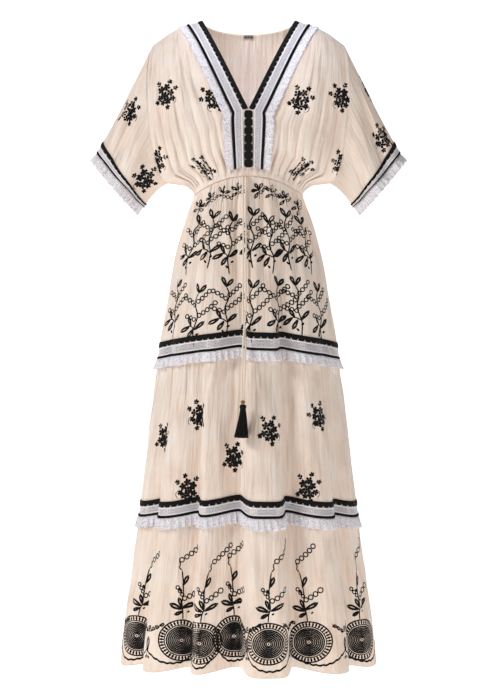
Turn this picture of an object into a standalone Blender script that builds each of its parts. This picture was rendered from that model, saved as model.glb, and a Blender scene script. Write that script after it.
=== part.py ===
# Peasant dress: V neck, wide elbow sleeves, drawn-in waist and a skirt of three tiers.
# Metres, +Z up. The front faces -Y and the wearer's left is +X.
# The origin lies midway between the two neck ends of the shoulder seams, where a hanger or
# the wearer's shoulders hold the dress. Heights below it are written as "down".
# Every cloth piece is an open surface with a Solidify wall. What is sewn on a piece is made
# from that piece's own points, moved out along its normals.

import math

import bmesh
import bpy
import numpy as np

CLOTH_THICK = 0.0015
TRIM_THICK = 0.0012
SEAM_GAP = 0.0003
EDGE_PULL = 0.0014        # a bodice edge stops this far short, as its wall leans over the seam
TRIM_GAP = 0.0008
FRILL_THICK = 0.001

# Skirt outline, one row for each measured height.
SKIRT_COLUMNS = ("down", "half_width", "half_depth", "front_lift", "fold_share")
SKIRT_ROWS = (
    (0.367, 0.113, 0.083, 0.034, 0.05),
    (0.416, 0.131, 0.094, 0.032, 0.16),
    (0.500, 0.154, 0.111, 0.028, 0.30),
    (0.584, 0.168, 0.126, 0.024, 0.40),
    (0.668, 0.183, 0.138, 0.020, 0.50),
    (0.752, 0.194, 0.148, 0.017, 0.60),
    (0.836, 0.205, 0.158, 0.015, 0.68),
    (0.920, 0.214, 0.167, 0.013, 0.76),
    (1.004, 0.224, 0.175, 0.012, 0.83),
    (1.088, 0.235, 0.183, 0.010, 0.88),
    (1.172, 0.246, 0.191, 0.009, 0.93),
    (1.256, 0.258, 0.198, 0.008, 0.97),
    (1.342, 0.267, 0.204, 0.006, 1.00),
)

# Hanging folds of the skirt. "turn" runs from the wearer's left side seam (0) over the centre
# front (0.25) and the right side seam (0.5) to the centre back (0.75). The two widths are the
# fold's reach towards smaller and larger turns, and "starts" is how far down it begins.
FOLD_COLUMNS = ("turn", "depth", "width_before", "width_after", "starts")
FOLD_ROWS = (
    (0.085, 0.030, 0.020, 0.020, 0.60),
    (0.187, 0.050, 0.032, 0.012, 0.50),
    (0.264, 0.056, 0.012, 0.040, 0.36),
    (0.337, 0.044, 0.012, 0.030, 0.70),
    (0.430, 0.030, 0.022, 0.018, 0.55),
    (0.560, 0.038, 0.014, 0.026, 0.45),
    (0.632, 0.044, 0.030, 0.013, 0.60),
    (0.702, 0.050, 0.013, 0.032, 0.40),
    (0.778, 0.052, 0.030, 0.012, 0.36),
    (0.850, 0.042, 0.013, 0.028, 0.65),
    (0.925, 0.034, 0.024, 0.016, 0.50),
)
FOLD_RISE = 0.22          # a recess draws its cloth up by this share of its depth
FOLD_SAMPLING = 1.5       # extra samples gathered round each fold
FOLD_SAMPLING_REACH = 0.02

# Tiers: heights of the wall's own rows, and how deep the gathers under its upper seam are.
TIERS = {
    "upper": {"rows": (0.3680, 0.405, 0.520, 0.673, 0.711), "gather": 0.0075, "fade": 0.26},
    "middle": {"rows": (0.7117, 0.740, 0.870, 1.002, 1.038), "gather": 0.0085, "fade": 0.17},
    "lower": {"rows": (1.0387, 1.065, 1.200, 1.342), "gather": 0.0085, "fade": 0.17},
}
GATHER_RAMP = 0.026       # the gathers open to their full depth this far under the seam
HALF_SEGMENTS = 32        # wall segments in half a tier
GATHERS_PER_HALF = 8
GATHER_FADES = 0.75       # share of a gather's depth that fades away down the tier
FOLD_REACH = (0.12, 0.36) # a fold begins this far above its start and is full after the second length

# Trim at the foot of a tier: (start, end) below the shoulders.
TIER_TRIM = {
    "upper": {"scallop_braid": (0.6735, 0.685), "lace": (0.6854, 0.7032), "braid": (0.7036, 0.7088)},
    "middle": {"scallop_braid": (1.0025, 1.014), "lace": (1.0144, 1.0302), "braid": (1.0306, 1.0358)},
}
TIER_FRILL = {"upper": (0.7092, 0.7310), "middle": (1.0362, 1.0600)}
FRILL_OUT = (0.0006, 0.0072)      # least and greatest stand-off of a frill's free edge
FRILL_WAVES_PER_HALF = 16

# Shoulders, neck and armholes.
NECK_POINT = (0.096, 0.0)          # x and down of the shoulder seam's inner end
SHOULDER_LINE = ((0.096, 0.0), (0.142, 0.013), (0.169, 0.028), (0.190, 0.048))
V_DOWN = 0.199                     # depth of the V neck
V_DEPTH = 0.097                    # how far forward its point lies
V_SHARE = 0.62                     # share of the front's inner edge that is the V
BACK_NECK = (0.062, 0.014)         # back neckline at the centre: y and down
BACK_NECK_SHARE = 0.48             # share of the back's upper edge that is neckline
ARM_SHARE = 0.80                   # share of the outer edge that is armhole
CHEST_BULGE = 0.012
BLOUSE_BULGE = 0.016
BLOUSE_FROM = 0.55                 # share of the height where the blouse over the waist begins
FULLNESS_FROM_SIDE = 0.25          # share of the width over which fullness fades at the side
SHOULDER_BLADE = 0.034
V_CURVE = 0.85                     # below 1, the front comes forward soon below the shoulder
BACK_CURVE = 0.8                   # below 1, the back is fullest above its middle
CENTRE_PULL = 0.0006               # each front stops this far from the centre line

# Sleeve rings: upper edge, lower edge, half depth and outward bow, from armhole to cuff.
SLEEVE_COLUMNS = ("along", "top_x", "top_down", "low_x", "low_down", "half_depth", "bow")
SLEEVE_ROWS = (
    (0.00, 0.190, 0.048, 0.172, 0.338, 0.074, 0.026),
    (0.33, 0.231, 0.125, 0.190, 0.351, 0.070, 0.020),
    (0.67, 0.272, 0.201, 0.206, 0.368, 0.062, 0.012),
    (1.00, 0.316, 0.277, 0.221, 0.388, 0.050, 0.004),
)
SLEEVE_FOLDS = 6                   # soft folds round a sleeve
SLEEVE_FOLD_DEPTH = 0.006
SIDE_SEAM = ((0.172, 0.338), (0.133, 0.343), (0.117, 0.354), (0.113, 0.367))

FRONT_COLUMNS = 14
BACK_HALF_COLUMNS = 14
BODICE_ROWS = (0.0, 0.10, 0.22, 0.35, 0.49, 0.62, 0.72, 0.82, 0.91, 0.972, 1.0)
WAIST_BAND = 0.972                 # below this share the cloth runs straight down into the seam
WAIST_BAND_HEIGHT = 0.007
WAIST_SEAM = 0.3668                # height of the bodice's lower edge at the side seams
SLEEVE_SAMPLES = 20
SLEEVE_STATIONS = (0.0045, 0.22, 0.48, 0.74, 0.89, 1.0)
BODICE_GATHER = 0.005
BODICE_GATHERS = 3.5
BODICE_GATHER_REACH = (0.62, 0.25, 0.05)   # where they start, how soon they are full, how soon they end

# Neck trim: distances from the front's inner edge.
NECK_TRIM = {"scallop_braid": (0.0005, 0.0115), "lace": (0.0119, 0.0285), "braid": (0.0289, 0.0345)}
NECK_FRILL = (0.0353, 0.0545)
NECK_TRIM_OUT = 0.0008             # neck bands lie this much further out, over the gathers
NECK_FRILL_OUT = (0.0012, 0.0062)
NECK_TRIM_NARROWS = 0.16           # the bands close up by this share under the V
PLACKET_HALF_WIDTH = 0.0082
PLACKET_ROWS = 9
PLACKET_DROP = 0.05                # in rows, how far under the V's point the placket begins
NECK_TRIM_END = 0.955              # trim ends at this share of the inner edge

# Cuff trim: shares of the sleeve's length.
CUFF_TRIM = {"scallop_braid": (0.895, 0.935), "lace": (0.937, 0.982), "braid": (0.984, 1.000)}
CUFF_FRILL_LENGTH = 0.021
CUFF_FRILL_GAP = 0.0014
CUFF_FRILL_WAVES = 10
CUFF_FRILL_SWING = (-0.0015, 0.0035)   # least and greatest stand-off of its free edge
CUFF_AXIS = (0.67, 0.0, -0.74)

# Drawstring: two cords from the waist seam to one bead and tassel.
CORD_RADIUS = 0.002
CORD_COLUMNS = ("share", "down", "x_right", "x_left", "out_right", "out_left")
CORD_ROWS = (
    (0.00, 0.3330, -0.0115, -0.0050, 0.0004, 0.0004),
    (0.02, 0.3345, -0.0116, -0.0051, 0.0065, 0.0062),
    (0.05, 0.3460, -0.0118, -0.0052, 0.0100, 0.0095),
    (0.14, 0.3900, -0.0112, -0.0056, 0.0095, 0.0085),
    (0.31, 0.4700, -0.0104, -0.0050, 0.0090, 0.0085),
    (0.50, 0.5600, -0.0112, -0.0054, 0.0095, 0.0090),
    (0.63, 0.6200, -0.0100, -0.0064, 0.0090, 0.0125),
    (0.68, 0.6420, -0.0080, -0.0084, 0.0090, 0.0142),
    (0.73, 0.6640, -0.0062, -0.0102, 0.0105, 0.0135),
    (0.83, 0.7100, -0.0066, -0.0116, 0.0165, 0.0165),
    (0.94, 0.7600, -0.0080, -0.0128, 0.0178, 0.0178),
    (1.00, 0.7884, -0.0087, -0.0133, 0.0185, 0.0185),
)
CORD_STEP = 0.0135
CORD_BEND_STEP = 0.003             # closer points where the cord turns out of the seam
CORD_BEND_LENGTH = 0.015
TASSEL_X = -0.011
TASSEL_OUT = 0.0185
BEAD_DOWN = 0.7925
BEAD_RADIUS = 0.0047
TASSEL_TOP = 0.7966
TASSEL_LENGTH = 0.067
TASSEL_RINGS = ((5, 0.0014, 0.0040), (9, 0.0029, 0.0082), (14, 0.0044, 0.0122), (18, 0.0056, 0.0160))
TASSEL_HEAD = ((0.0, 0.0), (0.0042, -0.0004), (0.0066, -0.0030), (0.0070, -0.0060), (0.0060, -0.0088),
               (0.0064, -0.0110), (0.0, -0.0112))    # radius and height of the spun head
STRAND_STATIONS = ((0.0095, 0.0, 0.00042), (0.030, 0.62, 0.00064), (TASSEL_LENGTH, 1.0, 0.0008))
STRAND_LEAN = 0.62                 # strands on the +X side flare by this share, as the tassel hangs

NECK_TAB = (0.020, 0.007, 0.0008)  # width, height, thickness
NECK_TAB_GAP = 0.0009              # between the tab and the inside of the back
NECK_TAB_DROP = 0.001              # the tab starts this far under the neck edge
NECK_TAB_CURVE = 8.0               # how it follows the round of the neck, per metre

COLOURS = {
    "cotton voile": (0.80, 0.70, 0.60, 1.0),
    "white lace": (0.80, 0.76, 0.77, 1.0),
    "black braid": (0.012, 0.011, 0.011, 1.0),
    "cotton cord": (0.78, 0.69, 0.56, 1.0),
    "brass": (0.55, 0.36, 0.14, 1.0),
    "grey ribbon": (0.12, 0.11, 0.11, 1.0),
}
ROUGHNESS = {"brass": 0.3}
TRIM_FINISH = {"scallop_braid": "black braid", "lace": "white lace", "braid": "black braid"}


def table_value(columns, rows, name, at):
    # Smooth value of one named column at a place in the table's first column.
    data = np.array(rows)
    xs = data[:, 0]
    ys = data[:, columns.index(name)]
    slopes = np.gradient(ys, xs)
    at = np.clip(at, xs[0], xs[-1])
    k = int(np.clip(np.searchsorted(xs, at) - 1, 0, len(xs) - 2))
    span = xs[k + 1] - xs[k]
    s = (at - xs[k]) / span
    start = (1 + 2 * s) * (1 - s) ** 2 * ys[k] + s * (1 - s) ** 2 * span * slopes[k]
    end = s * s * (3 - 2 * s) * ys[k + 1] + s * s * (s - 1) * span * slopes[k + 1]
    return start + end


def smooth_step(value):
    value = min(max(value, 0.0), 1.0)
    return value * value * (3 - 2 * value)


def skirt(name, down):
    return table_value(SKIRT_COLUMNS, SKIRT_ROWS, name, down)


def fold_depth(turn, down):
    # How far the hanging folds draw the cloth in at this place.
    depth = 0.0
    for row in FOLD_ROWS:
        fold = dict(zip(FOLD_COLUMNS, row))
        offset = (turn - fold["turn"] + 0.5) % 1.0 - 0.5
        width = fold["width_after"] if offset > 0 else fold["width_before"]
        reach = smooth_step((down - fold["starts"] + FOLD_REACH[0]) / FOLD_REACH[1])
        depth += fold["depth"] * reach * math.exp(-(offset / width) ** 2)
    return depth * skirt("fold_share", down)


def turns_for_half(first_turn):
    # Sample places over half a tier, closer together at the folds.
    fine = np.linspace(first_turn, first_turn + 0.5, 2001)
    density = np.ones_like(fine)
    for row in FOLD_ROWS:
        offset = (fine - row[0] + 0.5) % 1.0 - 0.5
        density += FOLD_SAMPLING * np.exp(-(offset / FOLD_SAMPLING_REACH) ** 2)
    total = np.concatenate(([0.0], np.cumsum((density[1:] + density[:-1]) / 2)))
    return np.interp(np.linspace(0, total[-1], HALF_SEGMENTS + 1), total, fine)


def skirt_point(turn, down, gather=0.0):
    # A point of the skirt's outline, drawn in by its folds and gathers.
    angle = 2 * math.pi * turn
    half_width = skirt("half_width", down)
    half_depth = skirt("half_depth", down)
    across = np.array([math.cos(angle) / half_width, -math.sin(angle) / half_depth, 0.0])
    normal = across / np.linalg.norm(across)
    recess = fold_depth(turn, down)
    base = np.array([half_width * math.cos(angle), -half_depth * math.sin(angle), -down])
    base[2] += skirt("front_lift", down) * max(0.0, math.sin(angle)) ** 2 + FOLD_RISE * recess
    return base - normal * (recess + gather)


def tier_gather(tier, down, place):
    # Depth of the gathers: none at the seam, full just below it, fading down the tier.
    rows = TIERS[tier]["rows"]
    below = down - rows[0]
    depth = TIERS[tier]["gather"] * min(below / GATHER_RAMP, 1.0)
    depth *= 1 - GATHER_FADES * smooth_step((below - GATHER_RAMP) / TIERS[tier]["fade"])
    return depth * (0.5 - 0.5 * math.cos(2 * math.pi * GATHERS_PER_HALF * place))


def grid_normals(points, closed):
    # Normal at each grid point, from its neighbours across and down.
    if closed:
        across = np.roll(points, -1, axis=1) - np.roll(points, 1, axis=1)
    else:
        across = np.gradient(points, axis=1)
    down = np.gradient(points, axis=0)
    normals = np.cross(across, down)
    return normals / np.maximum(np.linalg.norm(normals, axis=2, keepdims=True), 1e-12)


class Panel:
    # One cloth piece as a grid of points, rows down and columns across.
    def __init__(self, points, closed=False, outward=1):
        self.points = np.array(points)
        self.closed = closed
        self.outward = outward
        self.normals = grid_normals(self.points, closed) * outward

    def at(self, row, column, out=0.0):
        rows, columns = self.points.shape[:2]
        r = min(int(row), rows - 2)
        c = int(column) if self.closed else min(int(column), columns - 2)
        fr, fc = row - r, column - c
        c0, c1 = c % columns, (c + 1) % columns
        weights = ((1 - fr) * (1 - fc), (1 - fr) * fc, fr * (1 - fc), fr * fc)
        corners = ((r, c0), (r, c1), (r + 1, c0), (r + 1, c1))
        point = sum(w * self.points[k] for w, k in zip(weights, corners))
        normal = sum(w * self.normals[k] for w, k in zip(weights, corners))
        return point + normal / np.linalg.norm(normal) * out


materials = {}


def material(name):
    if name not in materials:
        made = bpy.data.materials.new(name)
        made.use_nodes = True
        shader = made.node_tree.nodes["Principled BSDF"]
        shader.inputs["Base Color"].default_value = COLOURS[name]
        shader.inputs["Roughness"].default_value = ROUGHNESS.get(name, 0.85)
        shader.inputs["Metallic"].default_value = 1.0 if name == "brass" else 0.0
        made.diffuse_color = COLOURS[name]
        materials[name] = made
    return materials[name]


def add_object(name, data, finish):
    made = bpy.data.objects.new(name, data)
    data.materials.append(material(finish))
    collection.objects.link(made)
    return made


def cloth_object(name, points, finish, thickness, closed=False, outward=1):
    # An open surface through a grid of points, thickened outwards by Solidify.
    rows, columns = points.shape[:2]
    faces = []
    for r in range(rows - 1):
        for c in range(columns if closed else columns - 1):
            n = (c + 1) % columns
            quad = (r * columns + c, r * columns + n, (r + 1) * columns + n, (r + 1) * columns + c)
            faces.append(quad if outward > 0 else quad[::-1])
    mesh = bpy.data.meshes.new(name)
    mesh.from_pydata([tuple(p) for p in points.reshape(-1, 3)], [], faces)
    mesh.shade_smooth()
    made = add_object(name, mesh, finish)
    wall = made.modifiers.new("wall", "SOLIDIFY")
    wall.thickness = thickness
    wall.offset = 1.0
    return made


def strip_on(name, panel, lines, outs, finish, thickness, closed=False):
    # A band sewn on a panel: each line lists (row, column) places, moved out from the wall.
    points = []
    for line, out in zip(lines, outs):
        lift = out if hasattr(out, "__len__") else [out] * len(line)
        points.append([panel.at(r, c, CLOTH_THICK + TRIM_GAP + o) for (r, c), o in zip(line, lift)])
    return cloth_object(name, np.array(points), finish, thickness, closed, panel.outward)


def pull_edge(grid, edge, inner, distance):
    # Draws one edge column of a grid back towards the column beside it.
    along = grid[:, inner] - grid[:, edge]
    grid[:, edge] += along / np.linalg.norm(along, axis=1, keepdims=True) * distance


def row_at(tier, down):
    rows = TIERS[tier]["rows"]
    return float(np.interp(down, rows, range(len(rows))))


def ring_turns():
    return np.concatenate((turns_for_half(0.0)[:-1], turns_for_half(0.5)[:-1]))


def build_tier(tier):
    # One tier: a closed ring of points, cut at the side seams into a front and a back.
    ring = []
    for down in TIERS[tier]["rows"]:
        line = []
        for i, turn in enumerate(ring_turns()):
            place = (i % HALF_SEGMENTS) / HALF_SEGMENTS
            line.append(skirt_point(turn, down, tier_gather(tier, down, place)))
        ring.append(line)
    panel = Panel(ring, closed=True)
    for side, first in (("front", 0), ("back", HALF_SEGMENTS)):
        columns = [(first + i) % (2 * HALF_SEGMENTS) for i in range(HALF_SEGMENTS + 1)]
        half = panel.points[:, columns].copy()
        pull_edge(half, 0, 1, SEAM_GAP / 2)
        pull_edge(half, -1, -2, SEAM_GAP / 2)
        cloth_object("skirt_{}_{}".format(tier, side), half, "cotton voile", CLOTH_THICK)
    return panel


def build_tier_trim(tier, panel):
    columns = range(2 * HALF_SEGMENTS)
    for kind, (start, end) in TIER_TRIM[tier].items():
        lines = [[(row_at(tier, down), c) for c in columns] for down in (start, end)]
        strip_on("{}_tier_{}".format(tier, kind), panel, lines, (0.0, 0.0), TRIM_FINISH[kind], TRIM_THICK, True)
    # the frill hangs over the next tier's gathers, from the skirt's outline without them
    hang = Panel([[skirt_point(turn, down) for turn in ring_turns()] for down in TIER_FRILL[tier]], closed=True)
    top, foot = [], []
    samples = 4 * HALF_SEGMENTS
    for i in range(samples):
        wave = 0.5 - 0.5 * math.cos(4 * math.pi * i * FRILL_WAVES_PER_HALF / samples)
        out = FRILL_OUT[0] + (FRILL_OUT[1] - FRILL_OUT[0]) * wave
        top.append(hang.at(0, i / 2, CLOTH_THICK + TRIM_GAP))
        foot.append(hang.at(1, i / 2, CLOTH_THICK + TRIM_GAP + out))
    cloth_object("{}_tier_frill".format(tier), np.array([top, foot]), "white lace", FRILL_THICK, True)


def line_through(points, share):
    # A place along a polyline of x and down, by its share of the length.
    data = np.array(points)
    steps = np.concatenate(([0.0], np.cumsum(np.linalg.norm(np.diff(data, axis=0), axis=1))))
    at = share * steps[-1]
    return float(np.interp(at, steps, data[:, 0])), float(np.interp(at, steps, data[:, 1]))


def sleeve_ring(along, turn):
    # A point of a sleeve; turn 0 is the upper edge, 0.25 the front and 0.5 the underarm.
    value = {n: table_value(SLEEVE_COLUMNS, SLEEVE_ROWS, n, along) for n in SLEEVE_COLUMNS[1:]}
    angle = 2 * math.pi * turn
    mid_x = (value["top_x"] + value["low_x"]) / 2
    mid_down = (value["top_down"] + value["low_down"]) / 2
    half_x = (value["top_x"] - value["low_x"]) / 2
    half_down = (value["low_down"] - value["top_down"]) / 2
    bow = value["bow"] * abs(math.sin(angle))
    x = mid_x + half_x * math.cos(angle) + bow
    down = mid_down - half_down * math.cos(angle)
    fold = SLEEVE_FOLD_DEPTH * math.sin(2 * math.pi * SLEEVE_FOLDS * turn) * smooth_step(along * 2)
    y = -(value["half_depth"] - fold) * math.sin(angle)
    return np.array([x, y, -down])


def outer_edge(share, front):
    # The bodice's outer edge: half an armhole, then the side seam down to the waist.
    if share <= ARM_SHARE:
        turn = 0.5 * share / ARM_SHARE
        return sleeve_ring(0.0, turn if front else 1 - turn)
    x, down = line_through(SIDE_SEAM, (share - ARM_SHARE) / (1 - ARM_SHARE))
    return np.array([x, 0.0, -down])


def waist_edge(share, front):
    # The waist seam from the centre (0) to the side seam (1), on the skirt's upper edge.
    turn = 0.25 * (1 - share)
    return skirt_point(turn if front else 1 - turn, WAIST_SEAM)


def front_inner_edge(share):
    # The V down to its point, then the centre front down to the waist.
    waist = waist_edge(0.0, True)
    if share <= V_SHARE:
        s = share / V_SHARE
        y = -V_DEPTH * math.sin(math.pi / 2 * s ** V_CURVE)
        return np.array([NECK_POINT[0] * (1 - s) + SEAM_GAP * s / 2, y, -V_DOWN * s])
    s = (share - V_SHARE) / (1 - V_SHARE)
    point = np.array([0.0, -V_DEPTH, -V_DOWN]) * (1 - s) + waist * s
    point[0] = SEAM_GAP / 2
    return point


def shoulder_edge(share):
    x, down = line_through(SHOULDER_LINE, share)
    return np.array([x, 0.0, -down])


def back_upper_edge(share):
    # The back neckline from the centre to the neck point, then the shoulder seam.
    if share <= BACK_NECK_SHARE:
        angle = math.pi / 2 * share / BACK_NECK_SHARE
        x = NECK_POINT[0] * math.sin(angle)
        return np.array([x, BACK_NECK[0] * math.cos(angle), -BACK_NECK[1] * math.cos(angle)])
    return shoulder_edge((share - BACK_NECK_SHARE) / (1 - BACK_NECK_SHARE))


def back_inner_edge(share):
    top = back_upper_edge(0.0)
    waist = waist_edge(0.0, False)
    point = top * (1 - share) + waist * share
    point[1] += SHOULDER_BLADE * math.sin(math.pi * share ** BACK_CURVE)
    return point


def patch(top, inner, outer, bottom, s, w):
    # Surface between four edge curves, s across from the inner edge and w down.
    corner = {(i, j): (top(i) if j == 0 else bottom(i)) for i in (0, 1) for j in (0, 1)}
    across = (1 - s) * inner(w) + s * outer(w)
    downward = (1 - w) * top(s) + w * bottom(s)
    mixed = (1 - w) * ((1 - s) * corner[0, 0] + s * corner[1, 0])
    mixed = mixed + w * ((1 - s) * corner[0, 1] + s * corner[1, 1])
    return across + downward - mixed


def bodice_shape(point, s, w, front):
    # Chest or shoulder-blade fullness, the blouse over the waist, and its gathers.
    if w >= WAIST_BAND:
        rise = WAIST_BAND_HEIGHT * (1 - w) / (1 - WAIST_BAND)
        return waist_edge(s, front) + np.array([0.0, 0.0, rise])
    sign = -1 if front else 1
    inside = math.sin(math.pi * s) ** 2 * math.sin(math.pi * w)
    blouse_share = min(max((w - BLOUSE_FROM) / (WAIST_BAND - BLOUSE_FROM), 0.0), 1.0)
    blouse = BLOUSE_BULGE * math.sin(math.pi * blouse_share)
    start, full, end = BODICE_GATHER_REACH
    gather = BODICE_GATHER * smooth_step((w - start) / full)
    gather *= min(max((WAIST_BAND - w) / end, 0.0), 1.0)
    gather *= 0.5 - 0.5 * math.cos(2 * math.pi * BODICE_GATHERS * s)
    move = CHEST_BULGE * inside + (blouse - gather) * smooth_step((1 - s) / FULLNESS_FROM_SIDE)
    return point + np.array([0.0, sign * move, 0.0])


def build_bodice():
    grid = []
    for w in BODICE_ROWS:
        line = []
        for i in range(FRONT_COLUMNS + 1):
            s = i / FRONT_COLUMNS
            point = patch(shoulder_edge, front_inner_edge, lambda v: outer_edge(v, True),
                          lambda v: waist_edge(v, True), s, w)
            line.append(bodice_shape(point, s, w, True))
        grid.append(line)
    left = np.array(grid)
    left[:, :, 1] -= SEAM_GAP / 2
    pull_edge(left, -1, -2, EDGE_PULL)
    pull_edge(left, 0, 1, CENTRE_PULL)
    grid = []
    for w in BODICE_ROWS:
        line = []
        for i in range(-BACK_HALF_COLUMNS, BACK_HALF_COLUMNS + 1):
            s = abs(i) / BACK_HALF_COLUMNS
            point = patch(back_upper_edge, back_inner_edge, lambda v: outer_edge(v, False),
                          lambda v: waist_edge(v, False), s, w)
            point = bodice_shape(point, s, w, False)
            point[0] *= -1 if i < 0 else 1
            line.append(point)
        grid.append(line)
    back = np.array(grid)
    back[:, :, 1] += SEAM_GAP / 2
    pull_edge(back, 0, 1, EDGE_PULL)
    pull_edge(back, -1, -2, EDGE_PULL)
    right = left * np.array([-1.0, 1.0, 1.0])
    cloth_object("bodice_front_left", left, "cotton voile", CLOTH_THICK, outward=-1)
    cloth_object("bodice_front_right", right, "cotton voile", CLOTH_THICK, outward=1)
    cloth_object("bodice_back", back, "cotton voile", CLOTH_THICK, outward=1)
    return {"left": Panel(left, outward=-1), "right": Panel(right), "back": Panel(back)}


def place_from_edge(panel, row, distance):
    # Column of a front panel that lies this far, square on, from its inner edge.
    columns = panel.points.shape[1] - 1
    edge = panel.at(row, 0)
    next_row = min(row + 0.5, panel.points.shape[0] - 1)
    tangent = panel.at(next_row, 0) - panel.at(next_row - 0.5, 0)
    tangent = tangent / np.linalg.norm(tangent)
    fine = np.linspace(0, columns * 0.7, 60)
    reach = []
    for column in fine:
        away = panel.at(row, column) - edge
        reach.append(np.linalg.norm(away - tangent * np.dot(away, tangent)))
    return float(np.interp(distance, np.maximum.accumulate(reach), fine))


def bodice_row(share):
    return float(np.interp(share, BODICE_ROWS, range(len(BODICE_ROWS))))


def neck_line(panel, distance, end=NECK_TRIM_END):
    # Places down a front panel at one distance from its inner edge, two for each row.
    last = bodice_row(end)
    line = []
    for row in list(np.arange(0, last - 0.05, 0.5)) + [last]:
        share = float(np.interp(row, range(len(BODICE_ROWS)), BODICE_ROWS))
        under = smooth_step((share - V_SHARE) / (1 - V_SHARE))
        line.append((row, place_from_edge(panel, row, distance * (1 - NECK_TRIM_NARROWS * under))))
    return line


def halve_steps(points):
    # The same polyline with a point midway along each of its steps.
    points = np.array(points)
    middles = (points[:-1] + points[1:]) / 2
    finer = np.empty((len(points) + len(middles), 3))
    finer[0::2] = points
    finer[1::2] = middles
    return finer


def build_neck_trim(side, panel):
    for kind, (near, far) in NECK_TRIM.items():
        end = V_SHARE if kind == "scallop_braid" else NECK_TRIM_END
        lines = [neck_line(panel, near, end), neck_line(panel, far, end)]
        grid = [list(pair) for pair in zip(*lines)]
        outs = [NECK_TRIM_OUT] * len(grid)
        strip_on("neck_{}_{}".format(kind, side), panel, grid, outs, TRIM_FINISH[kind], TRIM_THICK)
    out = CLOTH_THICK + TRIM_GAP + NECK_TRIM_OUT
    near, low, high = (halve_steps([panel.at(r, c, out + o) for r, c in neck_line(panel, d)])
                       for d, o in zip((NECK_FRILL[0], NECK_FRILL[1], NECK_FRILL[1]), (0.0, *NECK_FRILL_OUT)))
    wave = 0.5 - 0.5 * np.cos(math.pi / 2 * np.arange(len(near)))[:, None]
    free = low + (high - low) * wave
    cloth_object("neck_frill_{}".format(side), np.stack([near, free], axis=1), "white lace", FRILL_THICK,
                 outward=panel.outward)


def build_placket(panel):
    # The braid column that closes the front below the V, made from both fronts' inner edge.
    grid = []
    for row in np.linspace(bodice_row(V_SHARE) + PLACKET_DROP, bodice_row(NECK_TRIM_END), PLACKET_ROWS):
        column = place_from_edge(panel, row, PLACKET_HALF_WIDTH)
        edge = panel.at(row, column)
        y = min(edge[1], panel.at(row, 0)[1]) - CLOTH_THICK - TRIM_GAP
        grid.append([(-PLACKET_HALF_WIDTH, y, edge[2]), (0.0, y, edge[2]), (PLACKET_HALF_WIDTH, y, edge[2])])
    cloth_object("placket_braid", np.array(grid), "black braid", TRIM_THICK, outward=-1)


def sleeve_row(along):
    return float(np.interp(along, SLEEVE_STATIONS, range(len(SLEEVE_STATIONS))))


def build_sleeve(side):
    sign = 1 if side == "left" else -1
    around = SLEEVE_SAMPLES
    last = len(SLEEVE_STATIONS) - 1
    grid = []
    for along in SLEEVE_STATIONS:
        line = [sleeve_ring(along, i / around) * np.array([sign, 1.0, 1.0]) for i in range(around)]
        grid.append(line)
    panel = Panel(grid, closed=True, outward=sign)
    cloth_object("sleeve_{}".format(side), panel.points, "cotton voile", CLOTH_THICK, True, panel.outward)
    for kind, (start, end) in CUFF_TRIM.items():
        lines = [[(sleeve_row(a), c) for c in range(around)] for a in (start, end)]
        strip_on("cuff_{}_{}".format(kind, side), panel, lines, (0.0, 0.0), TRIM_FINISH[kind], TRIM_THICK, True)
    axis = np.array(CUFF_AXIS) * np.array([sign, 1.0, 1.0])
    top, foot = [], []
    samples = 4 * CUFF_FRILL_WAVES
    for i in range(samples):
        column = i * around / samples
        wave = 0.5 - 0.5 * math.cos(math.pi / 2 * i)
        root = panel.at(last, column) + axis * CUFF_FRILL_GAP
        outward = panel.at(last, column, 1.0) - panel.at(last, column)
        top.append(root)
        swing = CUFF_FRILL_SWING[0] + (CUFF_FRILL_SWING[1] - CUFF_FRILL_SWING[0]) * wave
        foot.append(root + axis * CUFF_FRILL_LENGTH + outward * swing)
    cloth_object("cuff_frill_{}".format(side), np.array([top, foot]), "white lace", FRILL_THICK, True,
                 panel.outward)


def front_face(down):
    # y of the unfolded centre front at this height.
    return -skirt("half_depth", max(down, SKIRT_ROWS[0][0]))


def cord_point(side, share):
    value = {name: table_value(CORD_COLUMNS, CORD_ROWS, name, share) for name in CORD_COLUMNS[1:]}
    y = front_face(value["down"]) - CLOTH_THICK - value["out_" + side]
    return np.array([value["x_" + side], y, -value["down"]])


def build_cord(side):
    fine = np.array([cord_point(side, share) for share in np.linspace(0, 1, 600)])
    run = np.concatenate(([0.0], np.cumsum(np.linalg.norm(np.diff(fine, axis=0), axis=1))))
    bend = np.arange(0, CORD_BEND_LENGTH, CORD_BEND_STEP)
    count = int((run[-1] - CORD_BEND_LENGTH) / CORD_STEP) + 1
    stations = np.concatenate((bend, np.linspace(CORD_BEND_LENGTH, run[-1], count)))
    points = [tuple(float(np.interp(at, run, fine[:, k])) for k in range(3)) for at in stations]
    curve = bpy.data.curves.new("drawstring_" + side, "CURVE")
    curve.dimensions = "3D"
    curve.bevel_depth = CORD_RADIUS
    curve.bevel_resolution = 2
    curve.use_fill_caps = True
    spline = curve.splines.new("POLY")
    spline.points.add(len(points) - 1)
    for point, place in zip(spline.points, points):
        point.co = (*place, 1.0)
    add_object("drawstring_" + side, curve, "cotton cord")


def tassel_place(down):
    return np.array([TASSEL_X, front_face(down) - CLOTH_THICK - TASSEL_OUT, -down])


def build_bead():
    mesh = bpy.data.meshes.new("drawstring_bead")
    shape = bmesh.new()
    bmesh.ops.create_uvsphere(shape, u_segments=14, v_segments=8, radius=BEAD_RADIUS)
    bmesh.ops.scale(shape, vec=(1.0, 1.0, 0.8), verts=shape.verts)
    bmesh.ops.translate(shape, vec=tuple(tassel_place(BEAD_DOWN)), verts=shape.verts)
    shape.to_mesh(mesh)
    shape.free()
    mesh.shade_smooth()
    add_object("drawstring_bead", mesh, "brass")


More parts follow.
